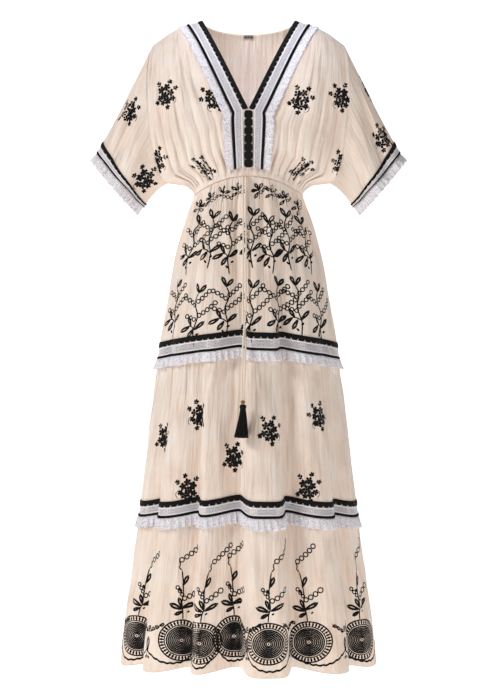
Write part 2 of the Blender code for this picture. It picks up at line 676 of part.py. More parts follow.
def add_strand(shape, angle, root_radius, end_radius, centre):
    # One tassel strand of three sides, hanging from the head and flaring to its end.
    rings = []
    for height, flare, half in STRAND_STATIONS:
        radius = root_radius + (end_radius - root_radius) * flare
        lean = STRAND_LEAN if math.cos(angle) > 0 else 1.0
        middle = centre + np.array([radius * math.cos(angle) * lean, radius * math.sin(angle), -height])
        ring = []
        for k in range(3):
            turn = angle + 2 * math.pi * k / 3
            ring.append(shape.verts.new(tuple(middle + half * np.array([math.cos(turn), math.sin(turn), 0]))))
        rings.append(ring)
    for upper, lower in zip(rings[:-1], rings[1:]):
        for k in range(3):
            n = (k + 1) % 3
            shape.faces.new((upper[n], upper[k], lower[k], lower[n]))
    shape.faces.new(rings[0])
    shape.faces.new(rings[-1][::-1])


def build_tassel():
    centre = tassel_place(TASSEL_TOP)
    head = bmesh.new()
    verts = [head.verts.new((x, 0.0, z)) for x, z in TASSEL_HEAD]
    edges = [head.edges.new(pair) for pair in zip(verts[:-1], verts[1:])]
    bmesh.ops.spin(head, geom=verts + edges, cent=(0, 0, 0), axis=(0, 0, 1), angle=2 * math.pi, steps=14)
    bmesh.ops.remove_doubles(head, verts=head.verts, dist=1e-6)
    bmesh.ops.translate(head, vec=tuple(centre), verts=head.verts)
    bmesh.ops.recalc_face_normals(head, faces=head.faces)
    mesh = bpy.data.meshes.new("drawstring_tassel")
    head.to_mesh(mesh)
    head.free()
    tassel = add_object("drawstring_tassel", mesh, "black braid")
    strands = bmesh.new()
    for number, (count, root, end) in enumerate(TASSEL_RINGS):
        for k in range(count):
            add_strand(strands, 2 * math.pi * (k + 0.5 * (number % 2)) / count, root, end, centre)
    bmesh.ops.recalc_face_normals(strands, faces=strands.faces)
    strand_mesh = bpy.data.meshes.new("tassel_strands")
    strands.to_mesh(strand_mesh)
    strands.free()
    cutter = bpy.data.objects.new("tassel_strands", strand_mesh)
    cutters.objects.link(cutter)
    cutter.hide_render = True
    cutter.display_type = "WIRE"
    joined = tassel.modifiers.new("strands", "BOOLEAN")
    joined.operation = "UNION"
    joined.object = cutter
    joined.solver = "EXACT"


def build_neck_tab(panel):
    # A bare ribbon tab on the inside of the back neck.
    width, height, thickness = NECK_TAB
    middle = (panel.points.shape[1] - 1) / 2
    edge = panel.at(0, middle)
    lower = panel.at(1, middle)
    along = (lower - edge) / np.linalg.norm(lower - edge)
    inward = panel.at(0, middle, -1.0) - edge
    top = edge + along * NECK_TAB_DROP + inward * (NECK_TAB_GAP + thickness)
    grid = []
    for share in (0.0, 1.0):
        row = []
        for x in np.linspace(-width / 2, width / 2, 5):
            bend = inward * NECK_TAB_CURVE * x * x
            row.append(top + along * height * share + np.array([x, 0.0, 0.0]) + bend)
        grid.append(row)
    cloth_object("neck_tab", np.array(grid), "grey ribbon", thickness)


for old in list(bpy.data.objects):
    bpy.data.objects.remove(old, do_unlink=True)
collection = bpy.data.collections.new("peasant_dress")
bpy.context.scene.collection.children.link(collection)
cutters = bpy.data.collections.new("cutters")
bpy.context.scene.collection.children.link(cutters)

tier_panels = {tier: build_tier(tier) for tier in TIERS}
for tier in TIER_TRIM:
    build_tier_trim(tier, tier_panels[tier])
bodice = build_bodice()
for side in ("left", "right"):
    build_neck_trim(side, bodice[side])
    build_sleeve(side)
    build_cord(side)
build_placket(bodice["left"])
build_bead()
build_tassel()
build_neck_tab(bodice["back"])
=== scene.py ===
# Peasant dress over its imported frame: cloth, lace, frills, braid, embroidery and drawstring.
# Metres, +Z up, front towards -Y. Heights below the shoulder line are called "down".
import math
import random

import bpy
import numpy as np
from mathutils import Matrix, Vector


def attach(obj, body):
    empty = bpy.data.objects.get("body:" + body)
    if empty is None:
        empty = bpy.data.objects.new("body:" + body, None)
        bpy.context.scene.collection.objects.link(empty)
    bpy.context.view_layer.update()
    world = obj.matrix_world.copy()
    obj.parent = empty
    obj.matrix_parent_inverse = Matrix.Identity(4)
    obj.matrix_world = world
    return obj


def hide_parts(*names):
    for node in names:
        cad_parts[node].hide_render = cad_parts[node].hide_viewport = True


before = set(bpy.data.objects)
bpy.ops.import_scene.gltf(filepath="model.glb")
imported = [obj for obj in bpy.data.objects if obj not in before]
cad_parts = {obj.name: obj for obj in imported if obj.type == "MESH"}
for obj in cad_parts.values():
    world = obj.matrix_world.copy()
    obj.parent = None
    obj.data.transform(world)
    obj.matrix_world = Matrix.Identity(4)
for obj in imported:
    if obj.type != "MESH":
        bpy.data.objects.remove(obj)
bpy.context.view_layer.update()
mm = 0.001
clothBody = "root"
bodySides = {"left": 1.0, "right": -1.0}
for old in [o for o in bpy.data.objects if o.type in ("CAMERA", "LIGHT")]:
    bpy.data.objects.remove(old, do_unlink=True)
print("frame loaded")

# Camera: level, square on to the front, at the middle of the photograph's frame
cameraView = {"distance": 3.2, "lens": 78.4, "x": 0.003, "z": -0.689}
camera = bpy.data.objects.new("camera", bpy.data.cameras.new("camera"))
bpy.context.scene.collection.objects.link(camera)
camera.data.lens = cameraView["lens"]
camera.location = (cameraView["x"], -cameraView["distance"], cameraView["z"])
camera.rotation_euler = (math.pi / 2, 0.0, 0.0)
bpy.context.scene.camera = camera


# Materials

def linearColour(hexColour):
    # sRGB hex to the linear values that shaders take
    channels = [int(hexColour[i:i + 2], 16) / 255 for i in (0, 2, 4)]
    return tuple(c / 12.92 if c <= 0.04045 else ((c + 0.055) / 1.055) ** 2.4 for c in channels) + (1.0,)


def addNode(tree, kind, settings=None, inputs=None):
    # a node with its settings; an input is a value or the socket that feeds it
    node = tree.nodes.new(kind)
    for key, value in (settings or {}).items():
        setattr(node, key, value)
    for key, value in (inputs or {}).items():
        if isinstance(value, bpy.types.NodeSocket):
            tree.links.new(value, node.inputs[key])
        else:
            node.inputs[key].default_value = value
    return node


def newMaterial(name, roughness, metallic=0.0, sheen=0.0):
    made = bpy.data.materials.new(name)
    made.use_nodes = True
    shader = made.node_tree.nodes["Principled BSDF"]
    shader.inputs["Roughness"].default_value = roughness
    shader.inputs["Metallic"].default_value = metallic
    if sheen:
        shader.inputs["Sheen Weight"].default_value = sheen
        shader.inputs["Sheen Roughness"].default_value = 0.5
    return made, shader


def colourRamp(tree, factor, stops):
    node = addNode(tree, "ShaderNodeValToRGB", None, {"Fac": factor})
    ramp = node.color_ramp
    while len(ramp.elements) < len(stops):
        ramp.elements.new(0.5)
    for element, (place, hexColour) in zip(ramp.elements, stops):
        element.position = place
        element.color = linearColour(hexColour)
    return node


# Cotton voile: fine plain-woven cotton, crinkled along the warp, matt and slightly uneven in tone.
# Real threads are 0.25 mm apart; the weave is drawn wider so that it shows at all.
voileLook = {"light": "F8E7DB", "mid": "F2DDCE", "shade": "E3C9B9", "threadsPerMetre": 900,
             "crinklePerMetre": 170, "creasePerMetre": 26, "roughness": 0.88, "glow": 0.4, "glowDepth": 0.002}


def cottonVoile():
    made, shader = newMaterial("cottonVoile", voileLook["roughness"], sheen=0.12)
    tree = made.node_tree
    uv = addNode(tree, "ShaderNodeUVMap", {"uv_map": "cloth"}).outputs["UV"]
    blotch = addNode(tree, "ShaderNodeTexNoise", None, {"Vector": uv, "Scale": 14.0, "Detail": 3.0})
    streakUv = addNode(tree, "ShaderNodeMapping", None, {"Vector": uv, "Scale": (1.0, 0.07, 1.0)})
    streak = addNode(tree, "ShaderNodeTexNoise", None, {"Vector": streakUv.outputs["Vector"], "Detail": 4.0,
                                                        "Scale": voileLook["crinklePerMetre"]})
    tone = addNode(tree, "ShaderNodeMath", {"operation": "ADD"},
                   {0: blotch.outputs["Fac"], 1: streak.outputs["Fac"]})
    half = addNode(tree, "ShaderNodeMath", {"operation": "MULTIPLY"}, {0: tone.outputs[0], 1: 0.5})
    ramp = colourRamp(tree, half.outputs[0], ((0.30, voileLook["shade"]), (0.48, voileLook["mid"]),
                                              (0.64, voileLook["light"])))
    tree.links.new(ramp.outputs["Color"], shader.inputs["Base Color"])
    warp = addNode(tree, "ShaderNodeTexWave", {"bands_direction": "X"},
                   {"Vector": uv, "Scale": voileLook["threadsPerMetre"] / 20, "Distortion": 1.5})
    weft = addNode(tree, "ShaderNodeTexWave", {"bands_direction": "Y"},
                   {"Vector": uv, "Scale": voileLook["threadsPerMetre"] / 20, "Distortion": 1.5})
    weave = addNode(tree, "ShaderNodeMath", {"operation": "ADD"},
                    {0: warp.outputs["Fac"], 1: weft.outputs["Fac"]})
    fine = addNode(tree, "ShaderNodeBump", None,
                   {"Strength": 0.12, "Distance": 0.0003, "Height": weave.outputs[0]})
    crinkle = addNode(tree, "ShaderNodeBump", None,
                      {"Strength": 0.8, "Distance": 0.0060, "Height": streak.outputs["Fac"],
                       "Normal": fine.outputs["Normal"]})
    # long soft creases, mostly down the cloth
    creaseUv = addNode(tree, "ShaderNodeMapping", None,
                       {"Vector": uv, "Scale": (1.0, 0.22, 1.0), "Rotation": (0.0, 0.0, 0.12)})
    crease = addNode(tree, "ShaderNodeTexNoise", {"noise_type": "RIDGED_MULTIFRACTAL"},
                     {"Vector": creaseUv.outputs["Vector"], "Scale": voileLook["creasePerMetre"], "Detail": 3.0,
                      "Distortion": 0.6})
    creased = addNode(tree, "ShaderNodeBump", None,
                      {"Strength": 0.85, "Distance": 0.020, "Height": crease.outputs["Fac"],
                       "Normal": crinkle.outputs["Normal"]})
    tree.links.new(creased.outputs["Normal"], shader.inputs["Normal"])
    shader.inputs["Subsurface Weight"].default_value = voileLook["glow"]
    shader.inputs["Subsurface Scale"].default_value = voileLook["glowDepth"]
    shader.inputs["Subsurface Radius"].default_value = (1.0, 0.82, 0.70)
    return made


# Lace, thread, cord, metal, ribbon and tulle: colour and bump follow one texture in object coordinates.
# Colours are sRGB, scales are a metre, bump is strength and depth in metres.
textureKinds = {
    "knots": ("ShaderNodeTexVoronoi", {"feature": "F1"}, {}, "Distance"),
    "fibres": ("ShaderNodeTexNoise", None, {"Detail": 2.0}, "Fac"),
    "wear": ("ShaderNodeTexNoise", None, {"Detail": 3.0}, "Fac"),
    "ribs": ("ShaderNodeTexWave", {"bands_direction": "X"}, {}, "Fac"),
}
materialLooks = {
    # cotton lace: matt white thread with a cool cast against the cream cloth
    "cottonLace": {"texture": "knots", "scale": 520.0, "stops": ((0.20, "FFFDFF"), (0.85, "EBE6EC")),
                   "bump": (0.6, 0.0006), "roughness": 0.82, "sheen": 0.1},
    # cotton net of the frills: the same thread, with shade between its knots
    "cottonNetFrill": {"texture": "knots", "scale": 520.0, "stops": ((0.20, "FFFDFF"), (0.85, "BDB5BE")),
                       "bump": (0.6, 0.0006), "roughness": 0.82, "sheen": 0.1},
    # black mercerised cotton of braid and satin stitch: near black with a soft thread sheen
    "mercerisedBlackThread": {"texture": "fibres", "scale": 750.0, "bump": (0.5, 0.0004), "roughness": 0.8,
                              "stops": ((0.35, "060505"), (0.75, "171313")), "sheen": 0.03, "shine": 0.18},
    # twisted cotton cord: undyed, a little warmer than the cloth
    "twistedCottonCord": {"texture": "fibres", "scale": 900.0, "stops": ((0.3, "DCC9B4"), (0.7, "F4E6D6")),
                          "bump": (0.4, 0.0003), "roughness": 0.8, "sheen": 0.1},
    # antique brass: cast and tumbled, warm gold with darker hollows
    "antiqueBrass": {"texture": "wear", "scale": 420.0, "stops": ((0.35, "7A5A30"), (0.65, "C99A55")),
                     "bump": (0.3, 0.0003), "roughness": 0.34, "metallic": 1.0},
    # grey woven ribbon: a flat tape with fine ribs across it
    "greyWovenRibbon": {"texture": "ribs", "scale": 60.0, "stops": ((0.2, "625D5C"), (0.8, "85807E")),
                        "bump": (0.4, 0.0003), "roughness": 0.7},
    # painted shade: a darker sheet under the lace, seen only through its eyelets, where the cloth beneath would
    # lie in shadow
    "paintedShadeUnderLace": {"texture": "fibres", "scale": 600.0, "stops": ((0.35, "978F90"), (0.7, "BAB1B1")),
                    "bump": (0.3, 0.0003), "roughness": 0.9},
}


def texturedMaterial(name):
    look = materialLooks[name]
    made, shader = newMaterial(name, look["roughness"], look.get("metallic", 0.0), look.get("sheen", 0.0))
    tree = made.node_tree
    if "shine" in look:
        shader.inputs["Specular IOR Level"].default_value = look["shine"]
    kind, settings, inputs, output = textureKinds[look["texture"]]
    place = addNode(tree, "ShaderNodeTexCoord").outputs["Object"]
    texture = addNode(tree, kind, settings, {"Vector": place, "Scale": look["scale"], **inputs}).outputs[output]
    ramp = colourRamp(tree, texture, look["stops"])
    tree.links.new(ramp.outputs["Color"], shader.inputs["Base Color"])
    strength, depth = look["bump"]
    bump = addNode(tree, "ShaderNodeBump", {"invert": look["texture"] == "knots"},
                   {"Strength": strength, "Distance": depth, "Height": texture})
    tree.links.new(bump.outputs["Normal"], shader.inputs["Normal"])
    return made


voile = cottonVoile()
lace = texturedMaterial("cottonLace")
frillNet = texturedMaterial("cottonNetFrill")
thread = texturedMaterial("mercerisedBlackThread")
cordCotton = texturedMaterial("twistedCottonCord")
brass = texturedMaterial("antiqueBrass")
ribbonGrey = texturedMaterial("greyWovenRibbon")
paintedShadeSheet = texturedMaterial("paintedShadeUnderLace")
print("materials made")


# Shapes shared with the frame: the skirt's outline, its hanging folds and its gathers

skirtShape = {
    "down": (0.367, 0.416, 0.500, 0.584, 0.668, 0.752, 0.836, 0.920, 1.004, 1.088, 1.172, 1.256, 1.342),
    "halfWidth": (0.113, 0.131, 0.154, 0.168, 0.183, 0.194, 0.205, 0.214, 0.224, 0.235, 0.246, 0.258, 0.267),
    "halfDepth": (0.083, 0.094, 0.111, 0.126, 0.138, 0.148, 0.158, 0.167, 0.175, 0.183, 0.191, 0.198, 0.204),
    "frontLift": (0.034, 0.032, 0.028, 0.024, 0.020, 0.017, 0.015, 0.013, 0.012, 0.010, 0.009, 0.008, 0.006),
    "foldShare": (0.05, 0.16, 0.30, 0.40, 0.50, 0.60, 0.68, 0.76, 0.83, 0.88, 0.93, 0.97, 1.00),
}
hangingFolds = (
    {"turn": 0.085, "depth": 0.030, "before": 0.020, "after": 0.020, "starts": 0.60},
    {"turn": 0.187, "depth": 0.050, "before": 0.032, "after": 0.012, "starts": 0.50},
    {"turn": 0.264, "depth": 0.056, "before": 0.012, "after": 0.040, "starts": 0.36},
    {"turn": 0.337, "depth": 0.044, "before": 0.012, "after": 0.030, "starts": 0.70},
    {"turn": 0.430, "depth": 0.030, "before": 0.022, "after": 0.018, "starts": 0.55},
    {"turn": 0.560, "depth": 0.038, "before": 0.014, "after": 0.026, "starts": 0.45},
    {"turn": 0.632, "depth": 0.044, "before": 0.030, "after": 0.013, "starts": 0.60},
    {"turn": 0.702, "depth": 0.050, "before": 0.013, "after": 0.032, "starts": 0.40},
    {"turn": 0.778, "depth": 0.052, "before": 0.030, "after": 0.012, "starts": 0.36},
    {"turn": 0.850, "depth": 0.042, "before": 0.013, "after": 0.028, "starts": 0.65},
    {"turn": 0.925, "depth": 0.034, "before": 0.024, "after": 0.016, "starts": 0.50},
)
foldRise = 0.22
tiers = {
    "upper": {"top": 0.3680, "foot": 0.7110, "gather": 0.0075, "fade": 0.26, "rows": 66},
    "middle": {"top": 0.7117, "foot": 1.0380, "gather": 0.0085, "fade": 0.17, "rows": 62},
    "lower": {"top": 1.0387, "foot": 1.3420, "gather": 0.0085, "fade": 0.17, "rows": 60},
}
halfColumns = 240
gathersPerHalf = 8
gatherRamp = 0.026
# Finer gathers between the frame's own: how many over half a tier, how deep, how far below the seam they
# open and fade (metres), and how uneven they are
fineGathers = (
    {"count": 21, "depth": 0.0036, "opens": gatherRamp, "fades": 0.20, "uneven": 0.4},
    {"count": 43, "depth": 0.0019, "opens": 0.008, "fades": 0.10, "uneven": 0.0},
)
wideGatherShare = 0.72       # of the frame's gathers that are left beside the fine ones
creaseDeepening = 1.25
# Creases: (turn, from, to, depth in mm, width in turns, drift); a minus depth is a ridge
creases = {
    "upper": (
        (0.060, 0.38, 0.62, 5.0, 0.012, 0.02), (0.118, 0.37, 0.58, 6.0, 0.010, 0.03),
        (0.150, 0.40, 0.70, 4.5, 0.013, -0.01), (0.212, 0.37, 0.60, 6.0, 0.009, 0.01),
        (0.240, 0.45, 0.69, -3.5, 0.010, 0.00), (0.288, 0.37, 0.66, 5.5, 0.011, -0.02),
        (0.322, 0.38, 0.60, 6.0, 0.012, -0.02), (0.362, 0.42, 0.70, 5.0, 0.010, 0.01),
        (0.398, 0.37, 0.55, 5.5, 0.011, -0.02), (0.452, 0.40, 0.66, 4.5, 0.012, -0.01),
        (0.530, 0.38, 0.60, 5.0, 0.012, 0.01), (0.592, 0.37, 0.66, 6.0, 0.011, 0.02),
        (0.664, 0.39, 0.60, 5.5, 0.010, -0.01), (0.735, 0.37, 0.69, 6.0, 0.012, 0.01),
        (0.806, 0.38, 0.58, 5.0, 0.010, 0.00), (0.880, 0.37, 0.67, 5.5, 0.012, -0.02),
        (0.955, 0.40, 0.60, 4.5, 0.012, 0.01),
    ),
    "middle": (
        (0.048, 0.72, 0.95, 5.0, 0.010, 0.02), (0.128, 0.72, 1.00, 4.5, 0.009, 0.01),
        (0.156, 0.75, 0.90, 4.0, 0.008, 0.02), (0.215, 0.72, 0.96, 4.5, 0.009, -0.01),
        (0.238, 0.73, 0.84, 4.0, 0.007, 0.00), (0.296, 0.72, 0.90, 4.5, 0.009, 0.02),
        (0.318, 0.74, 1.00, 3.5, 0.008, -0.01), (0.372, 0.72, 0.92, 5.0, 0.010, -0.02),
        (0.402, 0.73, 0.98, 4.0, 0.009, 0.01), (0.462, 0.72, 0.90, 4.5, 0.010, -0.01),
        (0.525, 0.72, 0.94, 4.5, 0.010, 0.01), (0.598, 0.73, 0.98, 4.5, 0.009, 0.00),
        (0.668, 0.72, 0.90, 4.0, 0.009, 0.02), (0.740, 0.72, 0.97, 5.0, 0.010, -0.01),
        (0.815, 0.73, 0.92, 4.0, 0.009, 0.01), (0.888, 0.72, 0.98, 4.5, 0.010, 0.00),
        (0.962, 0.72, 0.90, 4.0, 0.009, -0.01),
    ),
    "lower": (
        (0.040, 1.05, 1.30, 5.0, 0.010, 0.01), (0.122, 1.05, 1.22, 4.5, 0.009, 0.02),
        (0.152, 1.06, 1.33, 4.0, 0.008, 0.00), (0.214, 1.05, 1.20, 4.5, 0.008, 0.01),
        (0.236, 1.05, 1.30, 3.5, 0.007, -0.01), (0.292, 1.05, 1.24, 4.5, 0.009, 0.01),
        (0.314, 1.05, 1.18, 4.0, 0.008, -0.01), (0.372, 1.05, 1.32, 4.5, 0.009, -0.01),
        (0.396, 1.06, 1.20, 4.0, 0.008, 0.01), (0.466, 1.05, 1.28, 4.5, 0.010, 0.00),
        (0.520, 1.05, 1.30, 4.5, 0.010, 0.01), (0.590, 1.05, 1.20, 4.0, 0.009, 0.01),
        (0.665, 1.06, 1.32, 4.5, 0.009, -0.01), (0.742, 1.05, 1.22, 4.0, 0.009, 0.00),
        (0.812, 1.05, 1.30, 4.5, 0.009, 0.01), (0.890, 1.05, 1.24, 4.0, 0.010, -0.01),
        (0.966, 1.06, 1.32, 4.0, 0.010, 0.00),
    ),
}
clothThick = 0.0006          # the visible cloth; it lies on the outer face of the frame's wall
clothOut = 0.0009


def tableValue(table, key, name, at):
    # smooth values of one named column at places along the key column
    xs = np.array(table[key])
    ys = np.array(table[name])
    slopes = np.gradient(ys, xs)
    at = np.clip(at, xs[0], xs[-1])
    k = np.clip(np.searchsorted(xs, at) - 1, 0, len(xs) - 2)
    span = xs[k + 1] - xs[k]
    s = (at - xs[k]) / span
    start = (1 + 2 * s) * (1 - s) ** 2 * ys[k] + s * (1 - s) ** 2 * span * slopes[k]
    end = s * s * (3 - 2 * s) * ys[k + 1] + s * s * (s - 1) * span * slopes[k + 1]
    return start + end


def smoothStep(value):
    value = np.clip(value, 0.0, 1.0)
    return value * value * (3 - 2 * value)


def runLengths(points):
    # how far each point is along the line, from 0 at the first
    return np.concatenate(([0.0], np.cumsum(np.linalg.norm(np.diff(points, axis=0), axis=1))))


def unitVectors(vectors):
    return vectors / np.linalg.norm(vectors, axis=1, keepdims=True)


def swell(turns):
    # 0 to 1 and back for each turn
    return 0.5 - 0.5 * np.cos(2 * math.pi * turns)


def turnOffset(turn, place):
    return (turn - place + 0.5) % 1.0 - 0.5


def foldDepth(turn, down):
    depth = 0.0
    for fold in hangingFolds:
        offset = turnOffset(turn, fold["turn"])
        width = np.where(offset > 0, fold["after"], fold["before"])
        reach = smoothStep((down - fold["starts"] + 0.12) / 0.36)
        depth = depth + fold["depth"] * reach * np.exp(-(offset / width) ** 2)
    return depth * tableValue(skirtShape, "down", "foldShare", down)


def turnsForHalf(firstTurn, count):
    # places over half a tier, closer together at the folds, as on the frame
    fine = np.linspace(firstTurn, firstTurn + 0.5, 2001)
    density = np.ones_like(fine)
    for fold in hangingFolds:
        density += 1.5 * np.exp(-(turnOffset(fine, fold["turn"]) / 0.02) ** 2)
    total = np.concatenate(([0.0], np.cumsum((density[1:] + density[:-1]) / 2)))
    return np.interp(np.linspace(0, total[-1], count + 1), total, fine)


def skirtPoints(turn, down, inward):
    # points of the skirt's outline, drawn in by its folds, gathers and creases
    angle = 2 * math.pi * turn
    halfWidth = tableValue(skirtShape, "down", "halfWidth", down)
    halfDepth = tableValue(skirtShape, "down", "halfDepth", down)
    nx = np.cos(angle) / halfWidth
    ny = -np.sin(angle) / halfDepth
    length = np.sqrt(nx * nx + ny * ny)
    recess = foldDepth(turn, down)
    lift = tableValue(skirtShape, "down", "frontLift", down) * np.maximum(0.0, np.sin(angle)) ** 2
    draw = recess + inward
    x = halfWidth * np.cos(angle) - nx / length * draw
    y = -halfDepth * np.sin(angle) - ny / length * draw
    z = -down + lift + foldRise * recess
    return np.stack([x, y, z], axis=-1)


def tierInward(tier, turn, down, place):
    # gathers under the seam, wide ones as on the frame and finer ones between, then the creases
    size = tiers[tier]
    below = down - size["top"]
    wander = place + 0.010 * np.sin(2 * math.pi * 3 * place + 1.0) + 0.005 * np.sin(2 * math.pi * 7 * place)
    fade = 1 - 0.75 * smoothStep((below - gatherRamp) / size["fade"])
    opening = np.minimum(below / gatherRamp, 1.0)
    wide = size["gather"] * swell(gathersPerHalf * wander)
    inward = wideGatherShare * wide * opening * fade
    for gathers in fineGathers:
        uneven = 1 + gathers["uneven"] * (np.sin(2 * math.pi * 5 * place + 2.0) - 1)
        opens = np.minimum(below / gathers["opens"], 1.0) * (1 - smoothStep(below / gathers["fades"]))
        inward = inward + gathers["depth"] * swell(gathers["count"] * wander) * uneven * opens
    for place0, start, end, depth, width, drift in creases[tier]:
        along = np.clip((down - start) / (end - start), 0.0, 1.0)
        envelope = smoothStep(along / 0.25) * smoothStep((1 - along) / 0.45)
        offset = turnOffset(turn, place0 + drift * along)
        inward = inward + creaseDeepening * depth * mm * envelope * np.exp(-(offset / width) ** 2)
    ripple = 0.0007 * np.sin(61 * down + 23 * np.sin(9 * turn)) * np.sin(2 * math.pi * 19 * turn + 7 * down)
    return inward + ripple * opening * smoothStep((size["foot"] - down) / 0.05)


# Panels: each cloth piece as a grid of points with lengths along it, so that trim and
# embroidery can be laid on it at their real size

class Panel:
    def __init__(self, points, outward=1, closed=False):
        self.points = np.array(points)
        self.closed = closed
        if closed:
            across = np.roll(self.points, -1, axis=1) - np.roll(self.points, 1, axis=1)
        else:
            across = np.gradient(self.points, axis=1)
        normals = np.cross(across, np.gradient(self.points, axis=0)) * outward
        self.normals = normals / np.maximum(np.linalg.norm(normals, axis=2, keepdims=True), 1e-12)
        self.outward = outward
        self.rows, self.columns = self.points.shape[:2]
        step = np.linalg.norm(np.diff(self.points, axis=1), axis=2)
        self.acrossLength = np.concatenate((np.zeros((self.rows, 1)), np.cumsum(step, axis=1)), axis=1)
        step = np.linalg.norm(np.diff(self.points, axis=0), axis=2)
        self.downLength = np.concatenate((np.zeros((1, self.columns)), np.cumsum(step, axis=0)), axis=0)

    def at(self, rows, columns, out=0.0):
        rows = np.asarray(rows, float)
        columns = np.asarray(columns, float)
        r = np.clip(rows.astype(int), 0, self.rows - 2)
        c = columns.astype(int) if self.closed else np.clip(columns.astype(int), 0, self.columns - 2)
        fr = (rows - r)[..., None]
        fc = (columns - c)[..., None]
        c0, c1 = c % self.columns, (c + 1) % self.columns

        def mix(grid):
            upper = grid[r, c0] * (1 - fc) + grid[r, c1] * fc
            lower = grid[r + 1, c0] * (1 - fc) + grid[r + 1, c1] * fc
            return upper * (1 - fr) + lower * fr

        normal = mix(self.normals)
        normal = normal / np.maximum(np.linalg.norm(normal, axis=-1, keepdims=True), 1e-12)
        return mix(self.points) + normal * np.asarray(out)[..., None]

    def flatMap(self, row, column, turn=0.0, scale=1.0):
        # lays flat shapes (x to the right seen from outside, y up) on the cloth at this place
        r0, c0 = int(row), int(column)
        r1, c1 = min(r0 + 1, self.rows - 1), min(c0 + 1, self.columns - 1)
        ahead = self.points[r0, c1] - self.points[r0, max(c0 - 1, 0)]
        up = self.points[max(r0 - 1, 0), c0] - self.points[r1, c0]
        ahead = ahead / np.linalg.norm(ahead)
        up = up / np.linalg.norm(up)
        cosine = float(np.dot(ahead, up))
        sine = math.sqrt(max(1 - cosine * cosine, 0.05))
        # columns run to the left seen from outside on a panel whose normal is across x down
        side = -1.0 if self.outward > 0 else 1.0
        baseDown = self.downLength[r0, c0]
        cosTurn, sinTurn = math.cos(turn) * scale, math.sin(turn) * scale

        def place(x, y):
            xs = x * cosTurn - y * sinTurn
            ys = x * sinTurn + y * cosTurn
            along = side * xs / sine
            upward = ys - side * xs * cosine / sine
            r = np.interp(baseDown - upward, self.downLength[:, c0], np.arange(self.rows), -1, -1)
            if r < 0:
                return None
            ri = min(int(r), self.rows - 2)
            fr = r - ri
            lengths = self.acrossLength[ri] * (1 - fr) + self.acrossLength[ri + 1] * fr
            c = np.interp(lengths[c0] + along, lengths, np.arange(self.columns), -1, -1)
            return None if c < 0 else (r, c)

        return place


def meshObject(name, vertices, faces, material, uv=None):
    mesh = bpy.data.meshes.new(name)
    mesh.from_pydata([tuple(v) for v in vertices], [], faces)
    if uv is not None:
        layer = mesh.uv_layers.new(name="cloth")
        loops = np.empty(len(mesh.loops), dtype=np.int32)
        mesh.loops.foreach_get("vertex_index", loops)
        layer.data.foreach_set("uv", np.array(uv, dtype=np.float32)[loops].ravel())
    mesh.shade_smooth()
    mesh.materials.append(material)
    made = bpy.data.objects.new(name, mesh)
    bpy.context.scene.collection.objects.link(made)
    return made


def gridFaces(rows, columns, closed, outward):
    faces = []
    for r in range(rows - 1):
        for c in range(columns if closed else columns - 1):
            n = (c + 1) % columns
            quad = (r * columns + c, r * columns + n, (r + 1) * columns + n, (r + 1) * columns + c)
            faces.append(quad if outward > 0 else quad[::-1])
    return faces


def addWall(made, thickness):
    # gives a surface its thickness, outwards
    wall = made.modifiers.new("wall", "SOLIDIFY")
    wall.thickness = thickness
    wall.offset = 1.0


def tubeFaces(rings, sides, base=0):
    # the wall and both ends of a tube whose points go ring after ring
    faces = []
    for k in range(rings - 1):
        for j in range(sides):
            n = (j + 1) % sides
            faces.append((base + k * sides + j, base + k * sides + n, base + (k + 1) * sides + n,
                          base + (k + 1) * sides + j))
    faces.append(tuple(base + j for j in range(sides))[::-1])
    faces.append(tuple(base + (rings - 1) * sides + j for j in range(sides)))
    return faces


def clothObject(name, panel, material, thickness=clothThick, out=clothOut):
    # a thin shell on the panel; its UV map is in metres of cloth, across and down
    points = panel.points + panel.normals * out
    across = panel.acrossLength[panel.rows // 2][None, :].repeat(panel.rows, 0)
    uv = np.stack([across, panel.downLength], axis=-1)
    faces = gridFaces(panel.rows, panel.columns, panel.closed, panel.outward)
    made = meshObject(name, points.reshape(-1, 3), faces, material, uv.reshape(-1, 2))
    addWall(made, thickness)
    return made


def bake(made):
    # turns the modifiers into a plain mesh
    depsgraph = bpy.context.evaluated_depsgraph_get()
    mesh = bpy.data.meshes.new_from_object(made.evaluated_get(depsgraph))
    made.modifiers.clear()
    made.data = mesh
    return made


def flatSize(panel):
    # the widest row and the longest column of the cloth, and its area
    width = float(np.max(panel.acrossLength[:, -1]))
    length = float(np.max(panel.downLength[-1]))
    across = np.diff(panel.points, axis=1)[:-1]
    down = np.diff(panel.points, axis=0)[:, :-1]
    area = float(np.sum(np.linalg.norm(np.cross(across, down), axis=2)))
    return (round(width, 3), round(length, 3)), area


def finishCloth(made, panel, nodes):
    bake(made)
    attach(made, clothBody)
    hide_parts(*nodes)
    flat, area = flatSize(panel)
    least, most = 0.31 * flat[0] * flat[1], flat[0] * flat[1]
    round(min(max(area, least), most), 4)


# Skirt tiers
tierPanels = {}
for tier, size in tiers.items():
    for side, firstTurn in (("front", 0.0), ("back", 0.5)):
        turns = turnsForHalf(firstTurn, halfColumns)
        place = np.linspace(0, 1, halfColumns + 1)
        downs = np.linspace(size["top"], size["foot"], size["rows"] + 1)
        if tier != "lower":
            # rows close together under the seam, where the gathers open
            downs = size["top"] + (size["foot"] - size["top"]) * np.linspace(0, 1, size["rows"] + 1) ** 1.15
        turnGrid, downGrid = np.meshgrid(turns, downs)
        placeGrid = np.meshgrid(place, downs)[0]
        inward = tierInward(tier, turnGrid, downGrid, placeGrid)
        panel = Panel(skirtPoints(turnGrid, downGrid, inward))
        panel.downs = downs
        panel.turns = turns
        tierPanels[tier, side] = panel
        made = clothObject("skirt_{}_{}_cloth".format(tier, side), panel, voile)
        finishCloth(made, panel, ["skirt_{}_{}".format(tier, side)])
print("skirt tiers made")

